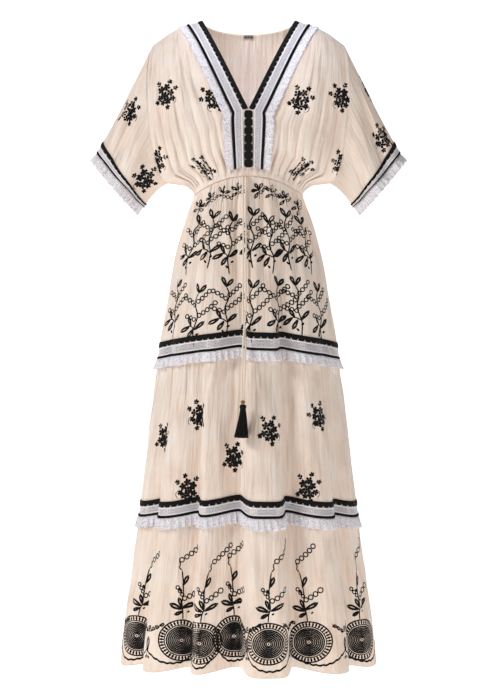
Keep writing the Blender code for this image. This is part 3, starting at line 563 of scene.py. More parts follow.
# Bodice and sleeves
bodiceShape = {
    "neckX": 0.096, "vDown": 0.199, "vDepth": 0.097, "vShare": 0.62, "backNeckY": 0.062, "backNeckDown": 0.014,
    "backNeckShare": 0.48, "armShare": 0.80, "chest": 0.012, "blouse": 0.016, "blade": 0.034,
    "waistBand": 0.972, "waistBandHeight": 0.007, "waistSeam": 0.3668, "gather": 0.005, "gathers": 3.5,
    "blouseFrom": 0.55, "gatherFrom": 0.62, "wideShare": 0.6,
}
# Finer gathers over the waist: how many, depth in metres, where they begin and over what share they grow
bodiceFineGathers = (
    {"count": 13, "depth": 0.0036, "from": 0.62, "over": 0.30},
    {"count": 27, "depth": 0.0019, "from": 0.80, "over": 0.16},
)
shoulderLine = ((0.096, 0.0), (0.142, 0.013), (0.169, 0.028), (0.190, 0.048))
sideSeam = ((0.172, 0.338), (0.133, 0.343), (0.117, 0.354), (0.113, 0.367))
sleeveShape = {
    "along": (0.00, 0.33, 0.67, 1.00),
    "topX": (0.190, 0.231, 0.272, 0.316), "topDown": (0.048, 0.125, 0.201, 0.277),
    "lowX": (0.172, 0.190, 0.206, 0.221), "lowDown": (0.338, 0.351, 0.368, 0.388),
    "halfDepth": (0.074, 0.070, 0.062, 0.050), "bow": (0.026, 0.020, 0.012, 0.004),
}
# Creases of the bodice: (across at top, across at foot, from, to, depth in mm, width); shares of the panel
frontCreases = (
    (0.30, 0.16, 0.30, 1.00, 4.0, 0.020), (0.40, 0.24, 0.45, 1.00, 4.5, 0.018),
    (0.42, 0.33, 0.20, 0.97, 3.5, 0.022), (0.52, 0.42, 0.35, 1.00, 4.5, 0.020),
    (0.60, 0.50, 0.55, 1.00, 4.0, 0.016), (0.66, 0.58, 0.15, 0.98, 4.0, 0.024),
    (0.74, 0.68, 0.45, 1.00, 4.5, 0.018), (0.82, 0.80, 0.25, 0.97, 5.0, 0.026),
    (0.90, 0.90, 0.40, 1.00, 4.5, 0.020), (0.24, 0.12, 0.60, 1.00, 3.0, 0.012),
    (0.48, 0.38, 0.70, 1.00, 3.0, 0.012), (0.70, 0.63, 0.72, 1.00, 3.0, 0.012),
)
backCreases = (
    (0.12, 0.08, 0.30, 1.00, 4.0, 0.020), (0.26, 0.20, 0.50, 1.00, 4.5, 0.018),
    (0.38, 0.30, 0.20, 0.96, 3.5, 0.022), (0.50, 0.43, 0.55, 1.00, 4.5, 0.018),
    (0.62, 0.56, 0.30, 1.00, 4.0, 0.022), (0.76, 0.70, 0.45, 1.00, 4.5, 0.020),
    (0.88, 0.86, 0.35, 1.00, 4.5, 0.022),
)
# Creases of a sleeve: (turn at armhole, turn at cuff, from, to, depth in mm, width in turns)
sleeveCreases = (
    (0.08, 0.12, 0.05, 0.90, 4.0, 0.018), (0.17, 0.20, 0.20, 0.97, 4.5, 0.022),
    (0.28, 0.27, 0.00, 0.80, 4.5, 0.020), (0.36, 0.33, 0.05, 0.95, 5.0, 0.022),
    (0.44, 0.40, 0.00, 0.90, 4.5, 0.020), (0.58, 0.62, 0.05, 0.90, 4.5, 0.022),
    (0.68, 0.70, 0.10, 0.95, 4.0, 0.020), (0.80, 0.79, 0.00, 0.85, 4.5, 0.022),
    (0.92, 0.90, 0.15, 0.90, 4.0, 0.020),
)
frontColumns, frontRows = 84, 84
backHalfColumns = 76
sleeveColumns, sleeveRows = 120, 46


def lineThrough(points, share):
    data = np.array(points)
    steps = runLengths(data)
    at = share * steps[-1]
    return np.interp(at, steps, data[:, 0]), np.interp(at, steps, data[:, 1])


def sleevePoint(along, turn, extra=0.0):
    value = {n: float(tableValue(sleeveShape, "along", n, along)) for n in sleeveShape if n != "along"}
    angle = 2 * math.pi * turn
    midX = (value["topX"] + value["lowX"]) / 2
    midDown = (value["topDown"] + value["lowDown"]) / 2
    halfX = (value["topX"] - value["lowX"]) / 2
    halfDown = (value["lowDown"] - value["topDown"]) / 2
    x = midX + halfX * math.cos(angle) + value["bow"] * abs(math.sin(angle))
    down = midDown - halfDown * math.cos(angle)
    fold = 0.006 * math.sin(12 * math.pi * turn) * float(smoothStep(along * 2))
    y = -(value["halfDepth"] - fold) * math.sin(angle)
    inward = np.array([-math.cos(angle) * 0.6, math.sin(angle), 0.25 * math.cos(angle)])
    return np.array([x, y, -down]) + inward * extra


def waistPoint(share, front):
    turn = 0.25 * (1 - share)
    turn = turn if front else 1 - turn
    return skirtPoints(np.array(turn), np.array(bodiceShape["waistSeam"]), 0.0)


def outerPoint(share, front):
    arm = bodiceShape["armShare"]
    if share <= arm:
        turn = 0.5 * share / arm
        return sleevePoint(0.0, turn if front else 1 - turn)
    x, down = lineThrough(sideSeam, (share - arm) / (1 - arm))
    return np.array([x, 0.0, -down])


def shoulderPoint(share):
    x, down = lineThrough(shoulderLine, share)
    return np.array([x, 0.0, -down])


def frontInner(share):
    size = bodiceShape
    if share <= size["vShare"]:
        s = share / size["vShare"]
        y = -size["vDepth"] * math.sin(math.pi / 2 * s ** 0.85)
        return np.array([size["neckX"] * (1 - s) + 0.00015 * s, y, -size["vDown"] * s])
    s = (share - size["vShare"]) / (1 - size["vShare"])
    point = np.array([0.0, -size["vDepth"], -size["vDown"]]) * (1 - s) + waistPoint(0.0, True) * s
    point[0] = 0.00015
    return point


def backUpper(share):
    size = bodiceShape
    if share <= size["backNeckShare"]:
        angle = math.pi / 2 * share / size["backNeckShare"]
        return np.array([size["neckX"] * math.sin(angle), size["backNeckY"] * math.cos(angle),
                         -size["backNeckDown"] * math.cos(angle)])
    return shoulderPoint((share - size["backNeckShare"]) / (1 - size["backNeckShare"]))


def backInner(share):
    point = backUpper(0.0) * (1 - share) + waistPoint(0.0, False) * share
    point[1] += bodiceShape["blade"] * math.sin(math.pi * share ** 0.8)
    return point


def bodiceGrid(front, columns, rows, creased=True):
    # the surface between four edge curves, then fullness, blouse, gathers and creases
    size = bodiceShape
    shares = np.linspace(0, 1, columns + 1)
    downs = np.linspace(0, 1, rows + 1)
    upper = [shoulderPoint(s) if front else backUpper(s) for s in shares]
    foot = [waistPoint(s, front) for s in shares]
    inner = [frontInner(w) if front else backInner(w) for w in downs]
    outer = [outerPoint(w, front) for w in downs]
    s = shares[None, :, None]
    w = downs[:, None, None]
    upper, foot = np.array(upper)[None], np.array(foot)[None]
    inner, outer = np.array(inner)[:, None], np.array(outer)[:, None]
    corners = (1 - w) * ((1 - s) * upper[:, :1] + s * upper[:, -1:])
    corners = corners + w * ((1 - s) * foot[:, :1] + s * foot[:, -1:])
    grid = (1 - s) * inner + s * outer + (1 - w) * upper + w * foot - corners
    s, w = s[..., 0], w[..., 0]
    chest = size["chest"] * np.sin(math.pi * s) ** 2 * np.sin(math.pi * w)
    band = size["waistBand"]
    blouse = np.clip((w - size["blouseFrom"]) / (band - size["blouseFrom"]), 0, 1)
    blouse = size["blouse"] * np.sin(math.pi * blouse)
    opening = np.clip((band - w) / 0.05, 0, 1)
    wide = size["gather"] * smoothStep((w - size["gatherFrom"]) / 0.25) * opening
    inward = wide * swell(size["gathers"] * s) * size["wideShare"]
    wander = s + 0.012 * np.sin(9 * s)
    for gathers in bodiceFineGathers:
        fine = gathers["depth"] * smoothStep((w - gathers["from"]) / gathers["over"])
        inward = inward + fine * swell(gathers["count"] * wander) * np.clip((1.0 - w) / 0.02, 0, 1)
    for top, low, start, end, depth, width in (frontCreases if front else backCreases):
        along = np.clip((w - start) / (end - start), 0, 1)
        envelope = smoothStep(along / 0.5) * smoothStep((1 - along) / 0.12)
        middle = top + (low - top) * w ** 0.8
        inward = inward + depth * mm * envelope * np.exp(-((s - middle) / width) ** 2)
    if not creased:
        inward = 0.0
    move = chest + (blouse - inward) * smoothStep((1 - s) / 0.12)
    grid[..., 1] += (-1 if front else 1) * move
    for row in np.where(downs >= band)[0]:
        rise = size["waistBandHeight"] * (1 - downs[row]) / (1 - band)
        grid[row] = foot[0] + np.array([0.0, 0.0, rise])
    return grid


leftFront = bodiceGrid(True, frontColumns, frontRows)
rightFront = leftFront * np.array([-1.0, 1.0, 1.0])
halfBack = bodiceGrid(False, backHalfColumns, frontRows)
wholeBack = np.concatenate((halfBack[:, :0:-1] * np.array([-1.0, 1.0, 1.0]), halfBack), axis=1)
bodicePanels = {"left": Panel(leftFront, outward=-1), "right": Panel(rightFront), "back": Panel(wholeBack)}
for side, node in (("left", "bodice_front_left"), ("right", "bodice_front_right"), ("back", "bodice_back")):
    made = clothObject(node + "_cloth", bodicePanels[side], voile)
    finishCloth(made, bodicePanels[side], [node])

sleevePanels = {}
for side, sign in bodySides.items():
    grid = []
    for along in np.linspace(0.004, 1.0, sleeveRows + 1):
        line = []
        for i in range(sleeveColumns):
            turn = i / sleeveColumns
            inward = 0.0
            for place0, place1, start, end, depth, width in sleeveCreases:
                run = min(max((along - start) / (end - start), 0.0), 1.0)
                envelope = float(smoothStep(run / 0.3 + 0.25) * smoothStep((1 - run) / 0.35))
                offset = turnOffset(turn, place0 + (place1 - place0) * along)
                inward += depth * mm * envelope * math.exp(-(offset / width) ** 2)
            inward *= min(along / 0.08, 1.0)
            line.append(sleevePoint(along, turn, inward) * np.array([sign, 1.0, 1.0]))
        grid.append(line)
    panel = Panel(grid, outward=1 if sign > 0 else -1, closed=True)
    sleevePanels[side] = panel
    made = clothObject("sleeve_{}_cloth".format(side), panel, voile)
    finishCloth(made, panel, ["sleeve_" + side])
print("bodice and sleeves made")

# Trim: a band is a strip of cloth surface, u along its seam and v across it, in metres

class Band:
    def __init__(self, panel, acrossValues):
        # the panel's rows lie at acrossValues and its columns run along the seam
        self.panel = panel
        self.closed = panel.closed
        self.acrossValues = np.array(acrossValues)
        middle = panel.points[panel.rows // 2]
        if self.closed:
            middle = np.concatenate((middle, middle[:1]))
        self.along = runLengths(middle)
        self.length = float(self.along[-1])

    def at(self, u, v, out):
        u, v, out = np.broadcast_arrays(np.asarray(u, float), np.asarray(v, float), np.asarray(out, float))
        if self.closed:
            u = np.mod(u, self.length)
        columns = np.interp(u, self.along, np.arange(len(self.along)))
        rows = np.interp(v, self.acrossValues, np.arange(len(self.acrossValues)))
        return self.panel.at(rows, columns, out)

    def stations(self, step, end=None):
        # even places along the band, without the last one where it is a closed ring
        length = self.length if end is None else end
        count = max(int(round(length / step)), 3)
        return np.linspace(0, length, count + 1)[:-1] if self.closed else np.linspace(0, length, count + 1)


def bandCloth(name, band, us, vs, outs, material, thickness):
    # a strip through places on a band; vs and outs have a row for each row of the strip
    grid = band.at(us[None, :], vs, outs)
    rows, columns = grid.shape[:2]
    faces = gridFaces(rows, columns, band.closed, band.panel.outward)
    made = meshObject(name, grid.reshape(-1, 3), faces, material)
    addWall(made, thickness)
    return bake(made)


leafShape = {"long": 0.86, "eye": 0.50, "fullest": 1.5}
threadLook = {"sink": 0.12, "endWidth": 0.45, "endHeight": 0.4}


def turnedPlaces(px, py, turn, x, y):
    # flat places turned about their own middle and moved to x, y
    return np.stack([x + px * math.cos(turn) - py * math.sin(turn),
                     y + px * math.sin(turn) + py * math.cos(turn)], axis=1)


class Drawing:
    # thread work drawn flat in mm, x to the right and y up, laid on cloth later
    def __init__(self):
        self.places, self.outs, self.faces, self.count = [], [], [], 0

    def add(self, places, outs, faces):
        self.places.append(np.asarray(places, float))
        self.outs.append(np.asarray(outs, float))
        self.faces += [tuple(self.count + k for k in face) for face in faces]
        self.count += len(places)

    def thread(self, points, width, height=0.5, closed=False):
        # a raised line of thread with a flat underside
        points = np.asarray(points, float)
        n = len(points)
        along = np.roll(points, -1, 0) - np.roll(points, 1, 0) if closed else np.gradient(points, axis=0)
        along = along / np.maximum(np.linalg.norm(along, axis=1, keepdims=True), 1e-9)
        across = np.stack([-along[:, 1], along[:, 0]], axis=1)
        half = np.full(n, width / 2)
        top = np.full(n, height)
        if not closed:
            half[[0, -1]] *= threadLook["endWidth"]
            top[[0, -1]] *= threadLook["endHeight"]
        places = np.concatenate((points + across * half[:, None], points, points - across * half[:, None]))
        under = np.full(n, -threadLook["sink"])
        outs = np.concatenate((under, top, under))
        faces = []
        for i in range(n if closed else n - 1):
            j = (i + 1) % n
            faces += [(i, j, n + j, n + i), (n + i, n + j, 2 * n + j, 2 * n + i), (2 * n + i, 2 * n + j, j, i)]
        if not closed:
            faces += [(0, n, 2 * n), (n - 1, 3 * n - 1, 2 * n - 1)]
        self.add(places, outs, faces)

    def blob(self, x, y, long, wide, turn, height=0.6, sides=8):
        # a satin-stitched oval
        angles = np.linspace(0, 2 * math.pi, sides, endpoint=False)
        places = turnedPlaces(long * np.cos(angles), wide * np.sin(angles), turn, x, y)
        places = np.concatenate((places, [(x, y)]))
        outs = np.concatenate((np.full(sides, -0.1), [height]))
        self.add(places, outs, [(k, (k + 1) % sides, sides) for k in range(sides)])

    def ring(self, x, y, radius, width, sides=12):
        angles = np.linspace(0, 2 * math.pi, sides, endpoint=False)
        points = np.stack([x + radius * np.cos(angles), y + radius * np.sin(angles)], axis=1)
        self.thread(points, width, 0.5, True)

    def leaf(self, x, y, length, wide, turn, line=1.9, eye=True):
        # a leaf from its stalk end, fullest past its middle; with an eye it is a loop of satin stitch
        length = leafShape["long"] * length
        if not eye:
            half = length / 2
            self.blob(x + math.cos(turn) * half, y + math.sin(turn) * half, half, wide / 2, turn)
            return
        t = np.linspace(0, 1, 8)
        half = (wide - line) * leafShape["eye"] * np.sin(math.pi * t ** leafShape["fullest"]) ** 0.8
        px = np.concatenate((t * length, (t * length)[-2:0:-1]))
        py = np.concatenate((half, -half[-2:0:-1]))
        self.thread(turnedPlaces(px, py, turn, x, y), line, 0.6, True)

    def leaves(self, rows):
        # (x, y, length, width, degrees, line) of each leaf
        for x, y, length, wide, degrees, line in rows:
            self.leaf(x, y, length, wide, math.radians(degrees), line)

    def flower(self, x, y, radius, turn):
        for k in range(5):
            angle = turn + 2 * math.pi * k / 5
            self.blob(x + 0.58 * radius * math.cos(angle), y + 0.58 * radius * math.sin(angle),
                      0.47 * radius, 0.41 * radius, angle, 0.7, 7)
        self.blob(x, y, 0.30 * radius, 0.30 * radius, 0, 0.9, 6)


class Stitching:
    # everything embroidered on one panel, joined to one object
    def __init__(self, panel):
        self.panel = panel
        self.rows, self.columns, self.outs, self.faces, self.count = [], [], [], [], 0

    def lay(self, drawing, row, column, turn=0.0, scale=1.0):
        place = self.panel.flatMap(row, column, turn, scale)
        points = np.concatenate(drawing.places) * mm
        outs = np.concatenate(drawing.outs) * mm
        index = {}
        for k, (x, y) in enumerate(points):
            found = place(x, y)
            if found is not None:
                index[k] = self.count
                self.count += 1
                self.rows.append(found[0])
                self.columns.append(found[1])
                self.outs.append(outs[k])
        for face in drawing.faces:
            if all(k in index for k in face):
                self.faces.append(tuple(index[k] for k in face))

    def line(self, columns, row, drops, width):
        # a thread that runs along the cloth at given lengths below one row
        n = len(columns)
        under = -threadLook["sink"] * mm
        for offset, out in ((-width / 2, under), (0.0, 0.8 * mm), (width / 2, under)):
            for column, drop in zip(columns, drops):
                lengths = self.panel.downLength[:, min(int(column), self.panel.columns - 1)]
                place = lengths[row] + drop + offset
                self.rows.append(float(np.interp(place, lengths, np.arange(len(lengths)))))
                self.columns.append(float(column))
                self.outs.append(out)
        for k in range(n - 1):
            # the step from the last column back to the first has no faces
            if abs(columns[k + 1] - columns[k]) < 20:
                for j in (0, n):
                    a = self.count + j + k
                    self.faces.append((a, a + 1, a + n + 1, a + n))
        self.count += 3 * n

    def finish(self, name):
        points = self.panel.at(np.array(self.rows), np.array(self.columns),
                               np.array(self.outs) + clothOut + clothThick)
        made = meshObject(name, points, self.faces, thread)
        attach(made, clothBody)


# Units repeated along a seam: one node tree for stitches, plaits and tassel strands

def unitsTree():
    tree = bpy.data.node_groups.new("unitsAlongSeam", "GeometryNodeTree")
    for name, kind in (("Points", "NodeSocketGeometry"), ("Unit", "NodeSocketObject"),
                       ("Unit Size", "NodeSocketFloat"), ("Size Spread", "NodeSocketFloat"),
                       ("Seed", "NodeSocketInt"), ("Material", "NodeSocketMaterial")):
        tree.interface.new_socket(name=name, in_out="INPUT", socket_type=kind)
    tree.interface.new_socket(name="Units", in_out="OUTPUT", socket_type="NodeSocketGeometry")
    entry = addNode(tree, "NodeGroupInput").outputs
    outward, forward = (addNode(tree, "GeometryNodeInputNamedAttribute", {"data_type": "FLOAT_VECTOR"},
                                {"Name": name}) for name in ("outward", "forward"))
    stand = addNode(tree, "FunctionNodeAlignRotationToVector", {"axis": "Z"},
                    {"Vector": outward.outputs["Attribute"]})
    follow = addNode(tree, "FunctionNodeAlignRotationToVector", {"axis": "X", "pivot_axis": "Z"},
                     {"Rotation": stand.outputs["Rotation"], "Vector": forward.outputs["Attribute"]})
    least = addNode(tree, "ShaderNodeMath", {"operation": "SUBTRACT"}, {0: 1.0, 1: entry["Size Spread"]})
    most = addNode(tree, "ShaderNodeMath", {"operation": "ADD"}, {0: 1.0, 1: entry["Size Spread"]})
    chance = addNode(tree, "FunctionNodeRandomValue", {"data_type": "FLOAT"}, {"Seed": entry["Seed"]})
    tree.links.new(least.outputs[0], chance.inputs[2])
    tree.links.new(most.outputs[0], chance.inputs[3])
    size = addNode(tree, "ShaderNodeMath", {"operation": "MULTIPLY"},
                   {0: chance.outputs[1], 1: entry["Unit Size"]})
    unit = addNode(tree, "GeometryNodeObjectInfo", None, {"Object": entry["Unit"], "As Instance": True})
    placed = addNode(tree, "GeometryNodeInstanceOnPoints", None,
                     {"Points": entry["Points"], "Instance": unit.outputs["Geometry"],
                      "Rotation": follow.outputs["Rotation"], "Scale": size.outputs[0]})
    realised = addNode(tree, "GeometryNodeRealizeInstances", None, {"Geometry": placed.outputs["Instances"]})
    finished = addNode(tree, "GeometryNodeSetMaterial", None,
                       {"Geometry": realised.outputs["Geometry"], "Material": entry["Material"]})
    addNode(tree, "NodeGroupOutput", None, {"Units": finished.outputs["Geometry"]})
    return tree


seamTree = unitsTree()


def placeUnits(name, points, outward, forward, unit, size, spread, seed, material):
    made = meshObject(name, np.reshape(points, (-1, 3)), [], material)
    for key, vectors in (("outward", outward), ("forward", forward)):
        layer = made.data.attributes.new(key, "FLOAT_VECTOR", "POINT")
        layer.data.foreach_set("vector", np.reshape(vectors, (-1, 3)).astype(np.float32).ravel())
    modifier = made.modifiers.new("units", "NODES")
    modifier.node_group = seamTree
    values = {"Unit": unit, "Unit Size": size, "Size Spread": spread, "Seed": seed, "Material": material}
    for item in seamTree.interface.items_tree:
        if item.in_out == "INPUT" and item.name in values:
            modifier[item.identifier] = values[item.name]
    bake(made)
    made.data.materials.clear()
    made.data.materials.append(material)
    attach(made, clothBody)
    return made


def unitsOnBand(name, band, us, v, out, unit, size, spread, seed, material, lean=0.0):
    # units on a line along a band, each turned in the cloth's plane by the angle given
    us, v, lean = np.broadcast_arrays(np.asarray(us, float), v, lean)
    here = band.at(us, v, out)
    outward = unitVectors(band.at(us, v, out + mm) - here)
    ahead = unitVectors(band.at(us + mm, v, out) - band.at(us - mm, v, out))
    beside = np.cross(outward, ahead)
    forward = ahead * np.cos(lean)[:, None] + beside * np.sin(lean)[:, None]
    return placeUnits(name, here, outward, forward, unit, size, spread, seed, material)


def unitObject(name, vertices, faces, material):
    # a source for the node tree; it is removed again before the end
    made = meshObject(name, vertices, faces, material)
    unitSources.append(made)
    return made


def grainUnit(name, wide, high, material):
    # one stitch or plait, 1 long along x
    vertices = [(-0.5, 0, 0), (0.5, 0, 0), (0, wide / 2, 0), (0, -wide / 2, 0)]
    vertices += [(0, 0, high), (0, 0, -high * 0.4)]
    faces = [(1, 2, 4), (2, 0, 4), (0, 3, 4), (3, 1, 4), (2, 1, 5), (0, 2, 5), (3, 0, 5), (1, 3, 5)]
    return unitObject(name, vertices, faces, material)


def strandUnit(name, material):
    # a tassel strand, 1 long along z, of four sides, with a slight bend
    vertices, faces = [], []
    for level, (bend, half) in enumerate(((0.0, 0.010), (0.012, 0.012), (0.008, 0.012), (0.0, 0.010))):
        for k in range(4):
            turn = math.pi / 2 * k
            vertices.append((bend + half * math.cos(turn), half * math.sin(turn), level / 3))
    for level in range(3):
        for k in range(4):
            n = (k + 1) % 4
            faces.append((4 * level + k, 4 * level + n, 4 * level + 4 + n, 4 * level + 4 + k))
    return unitObject(name, vertices, faces + [(12, 13, 14, 15)], material)


unitSources = []
stitchUnit = grainUnit("stitchUnit", 0.28, 0.16, cordCotton)
plaitUnit = grainUnit("plaitUnit", 0.62, 0.34, thread)
tasselStrand = strandUnit("tasselStrandUnit", thread)

# Sizes of the trim, across the seam from its first edge, in metres
trimLook = {
    "scallopPitch": 0.0137, "scallopDepth": 0.0044, "scallopSteps": 8, "braidThick": 0.0009,
    "meshPitch": 0.0066, "meshRows": 2, "meshThread": 2.0, "plaitPitch": 0.0021,
    "frillPitch": 0.0125, "frillSteps": 8, "frillRows": 6, "frillThick": 0.0004, "trimOut": 0.0017,
    "border": 0.0024, "borderThick": 0.0006, "shadeSheetThick": 0.0002,
}


def finishTrim(made, node=None):
    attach(made, clothBody)
    if node:
        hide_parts(node)


def scallopBraid(node, band, start, end, out, stop=None, both=False, pitch=None):
    # woven braid with one straight edge, or none, and rounded scallops along the other
    size = trimLook
    length = band.length if stop is None else stop
    pitch = pitch or size["scallopPitch"]
    count = max(int(round(length / pitch)), 1)
    us = band.stations(length / count / size["scallopSteps"], stop)
    wave = np.abs(np.sin(math.pi * us / (length / count)))
    depth = size["scallopDepth"] * (1 - np.sqrt(wave * (2 - wave)))
    first = np.full_like(us, start) + (depth if both else 0.0)
    last = np.full_like(us, end) - depth
    shares = np.array([0.0, 0.2, 0.5, 0.8, 1.0])[:, None]
    rib = 0.00018 * np.sin(2 * math.pi * us / 0.0024)
    outs = out + np.array([0.0, 0.35, 0.5, 0.35, 0.0])[:, None] * mm + rib * np.array([0, 1, 1, 1, 0])[:, None]
    made = bandCloth(node + "_trim", band, us, first + (last - first) * shares, outs, thread,
                     size["braidThick"])
    finishTrim(made, node)


def laceBand(node, band, start, end, out, stop=None):
    # two solid borders with an open mesh of thread between them, over a darker sheet of painted shade
    size = trimLook
    length = band.length if stop is None else stop
    low, high = start + size["border"], end - size["border"]
    drawing = Drawing()
    step = size["meshPitch"] / 2
    count = int(round(length / step / 2)) * 2
    us = np.linspace(0, length, count + 1)[:-1] if band.closed else np.linspace(0, length, count + 1)
    height = (high - low) / size["meshRows"]
    for row in range(size["meshRows"]):
        for flip in (0, 1):
            zigzag = (np.arange(len(us)) + flip) % 2
            vs = low + height * (row + zigzag)
            drawing.thread(np.stack([us, vs], axis=1) / mm, size["meshThread"], 0.35, band.closed)
    flat = np.concatenate(drawing.places) * mm
    outs = np.concatenate(drawing.outs) * mm
    points = band.at(flat[:, 0], flat[:, 1], outs + out)
    meshPiece = meshObject(node + "_mesh", points, drawing.faces, lace)
    finishTrim(meshPiece)
    us = band.stations(0.004, stop)
    # the two borders, and under the mesh a sheet of painted shade a little wider than it
    for tag, a, b, lift, material in (("near", start, low, 0.3, lace), ("far", high, end, 0.3, lace),
                                      ("net", low - 0.0004, high + 0.0004, -0.35, paintedShadeSheet)):
        vs = np.array([a, (a + b) / 2, b])[:, None] * np.ones_like(us)
        outs = out + np.array([min(lift, 0.0), lift, min(lift, 0.0)])[:, None] * mm * np.ones_like(us)
        made = bandCloth("{}_{}".format(node, tag), band, us, vs, outs, material,
                         size["borderThick"] if lift > 0 else size["shadeSheetThick"])
        finishTrim(made, node if tag == "near" else None)


def thinBraid(node, band, start, end, out, stop=None):
    # a flat core with two rows of slanting plaits over it
    size = trimLook
    us = band.stations(0.004, stop)
    vs = np.array([start, (start + end) / 2, end])[:, None] * np.ones_like(us)
    outs = out + np.array([0.0, 0.35, 0.0])[:, None] * mm * np.ones_like(us)
    made = bandCloth(node + "_core", band, us, vs, outs, thread, 0.0007)
    finishTrim(made, node)
    us = band.stations(size["plaitPitch"], stop)
    width = end - start
    for side, share, lean in ((1, 0.30, 0.75), (-1, 0.70, -0.75)):
        plaits = unitsOnBand("{}_plaits_{}".format(node, "near" if side > 0 else "far"), band,
                             us + (size["plaitPitch"] / 2 if side < 0 else 0.0), start + share * width,
                             out + 0.9 * mm, plaitUnit, width * 0.62, 0.08, 3, thread, lean)


def gatheredFrill(node, band, start, end, out, swing, seed):
    # a ruffle: waves that open towards a gently scalloped free edge
    size = trimLook
    waves = int(round(band.length / size["frillPitch"]))
    us = band.stations(band.length / waves / size["frillSteps"])
    phase = 2 * math.pi * us * waves / band.length
    chance = random.Random(seed)
    shifts = [chance.uniform(0, 6.28) for k in range(3)]
    turn = 2 * math.pi * us / band.length
    phase = phase + 0.9 * np.sin(turn * 11 + shifts[0]) + 0.5 * np.sin(turn * 23 + shifts[1])
    strength = 0.75 + 0.25 * np.sin(turn * 17 + shifts[2])
    vs, outs, shifted = [], [], []
    for k in range(size["frillRows"] + 1):
        share = k / size["frillRows"]
        scallops = 0.0008 * (1 + np.cos(phase + 0.6))
        edge = end - scallops - 0.0007 * (1 + np.sin(turn * 53 + shifts[1]))
        vs.append(start + (edge - start) * share)
        opening = share ** 0.7
        ruffle = (swing[1] - swing[0]) * opening * strength * (0.5 - 0.5 * np.cos(phase + share))
        outs.append(out + swing[0] * share + ruffle)
        shifted.append(0.0021 * opening * np.sin(phase + share))
    grid = band.at(us[None, :] + np.array(shifted), np.array(vs), np.array(outs))
    panel = Panel(grid, band.panel.outward, band.closed)
    made = meshObject(node + "_cloth", grid.reshape(-1, 3),
                      gridFaces(panel.rows, panel.columns, panel.closed, panel.outward), frillNet)
    addWall(made, size["frillThick"])
    finishCloth(made, panel, [node])


def topStitch(name, band, v, out, pitch=0.0034, length=0.0024):
    stitches = unitsOnBand(name, band, band.stations(pitch), v, out, stitchUnit, length, 0.1, 5, cordCotton)


# Tier trims
tierTrim = {
    "upper": {"scallop_braid": (0.6735, 0.6850), "lace": (0.6854, 0.7032), "braid": (0.7036, 0.7088),
              "frill": (0.7086, 0.7310)},
    "middle": {"scallop_braid": (1.0025, 1.0140), "lace": (1.0144, 1.0302), "braid": (1.0306, 1.0358),
               "frill": (1.0356, 1.0600)},
}


def tierBand(tier, downs):
    # the ring of cloth between two heights of a tier
    rings = []
    for down in downs:
        row = np.interp(down, tierPanels[tier, "front"].downs, np.arange(tiers[tier]["rows"] + 1))
        halves = [tierPanels[tier, side].at(row, np.arange(halfColumns)) for side in ("front", "back")]
        rings.append(np.concatenate(halves))
    return Band(Panel(rings, closed=True), downs)


ringTurns = np.concatenate((turnsForHalf(0.0, halfColumns)[:-1], turnsForHalf(0.5, halfColumns)[:-1]))
for number, (tier, parts) in enumerate(tierTrim.items()):
    first, last = parts["scallop_braid"][0], parts["braid"][1]
    band = tierBand(tier, np.linspace(first - 0.004, min(last + 0.002, tiers[tier]["foot"]), 10))
    out = trimLook["trimOut"]
    scallopBraid(tier + "_tier_scallop_braid", band, *parts["scallop_braid"], out + 0.0004)
    laceBand(tier + "_tier_lace", band, *parts["lace"], out)
    thinBraid(tier + "_tier_braid", band, *parts["braid"], out + 0.0004)
    topStitch(tier + "_tier_stitches", band, first - 0.0025, 0.0016)
    downs = np.linspace(parts["frill"][0] - 0.001, parts["frill"][1] + 0.001, 5)
    grid = [skirtPoints(ringTurns, np.full_like(ringTurns, down), 0.0) for down in downs]
    hang = Band(Panel(grid, closed=True), downs)
    gatheredFrill(tier + "_tier_frill", hang, *parts["frill"], 0.0023, (0.0006, 0.0072), 11 + number)
print("tier trim made")

# Neck trim, laid on the fronts as they would be without their gathers
neckTrim = {"scallop_braid": (0.0005, 0.0115), "lace": (0.0119, 0.0285), "braid": (0.0289, 0.0345),
            "frill": (0.0353, 0.0545), "narrows": 0.16, "ends": 0.955, "out": 0.0019, "placketHalf": 0.0086}


def neckBand(grid, sign):
    plain = Panel(grid, outward=-1)
    distances = np.concatenate(([0.0], np.linspace(0.0005, 0.056, 14)))
    rows = np.arange(0, neckTrim["ends"] * frontRows + 0.5, 1.0)
    strips = []
    for row in rows:
        r = int(row)
        edge = grid[r, 0]
        tangent = grid[min(r + 1, frontRows), 0] - grid[max(r - 1, 0), 0]
        tangent = tangent / np.linalg.norm(tangent)
        away = grid[r] - edge
        reach = np.linalg.norm(away - (away @ tangent)[:, None] * tangent, axis=1)
        under = float(smoothStep((r / frontRows - bodiceShape["vShare"]) / (1 - bodiceShape["vShare"])))
        wanted = distances * (1 - neckTrim["narrows"] * under)
        columns = np.interp(wanted, np.maximum.accumulate(reach), np.arange(len(reach)))
        strips.append(plain.at(np.full_like(columns, row), columns))
    grid = np.transpose(np.array(strips), (1, 0, 2)) * np.array([sign, 1.0, 1.0])
    return Band(Panel(grid, outward=1 if sign > 0 else -1), distances)


plainFront = bodiceGrid(True, frontColumns, frontRows, creased=False)
for side, sign in bodySides.items():
    band = neckBand(plainFront, sign)
    out = neckTrim["out"]
    vEnd = float(np.interp(bodiceShape["vShare"] * frontRows, np.arange(len(band.along)), band.along))
    scallopBraid("neck_scallop_braid_" + side, band, *neckTrim["scallop_braid"], out + 0.0004, stop=vEnd)
    laceBand("neck_lace_" + side, band, *neckTrim["lace"], out)
    thinBraid("neck_braid_" + side, band, *neckTrim["braid"], out + 0.0004)
    gatheredFrill("neck_frill_" + side, band, *neckTrim["frill"], out, (0.0012, 0.0062), 21)

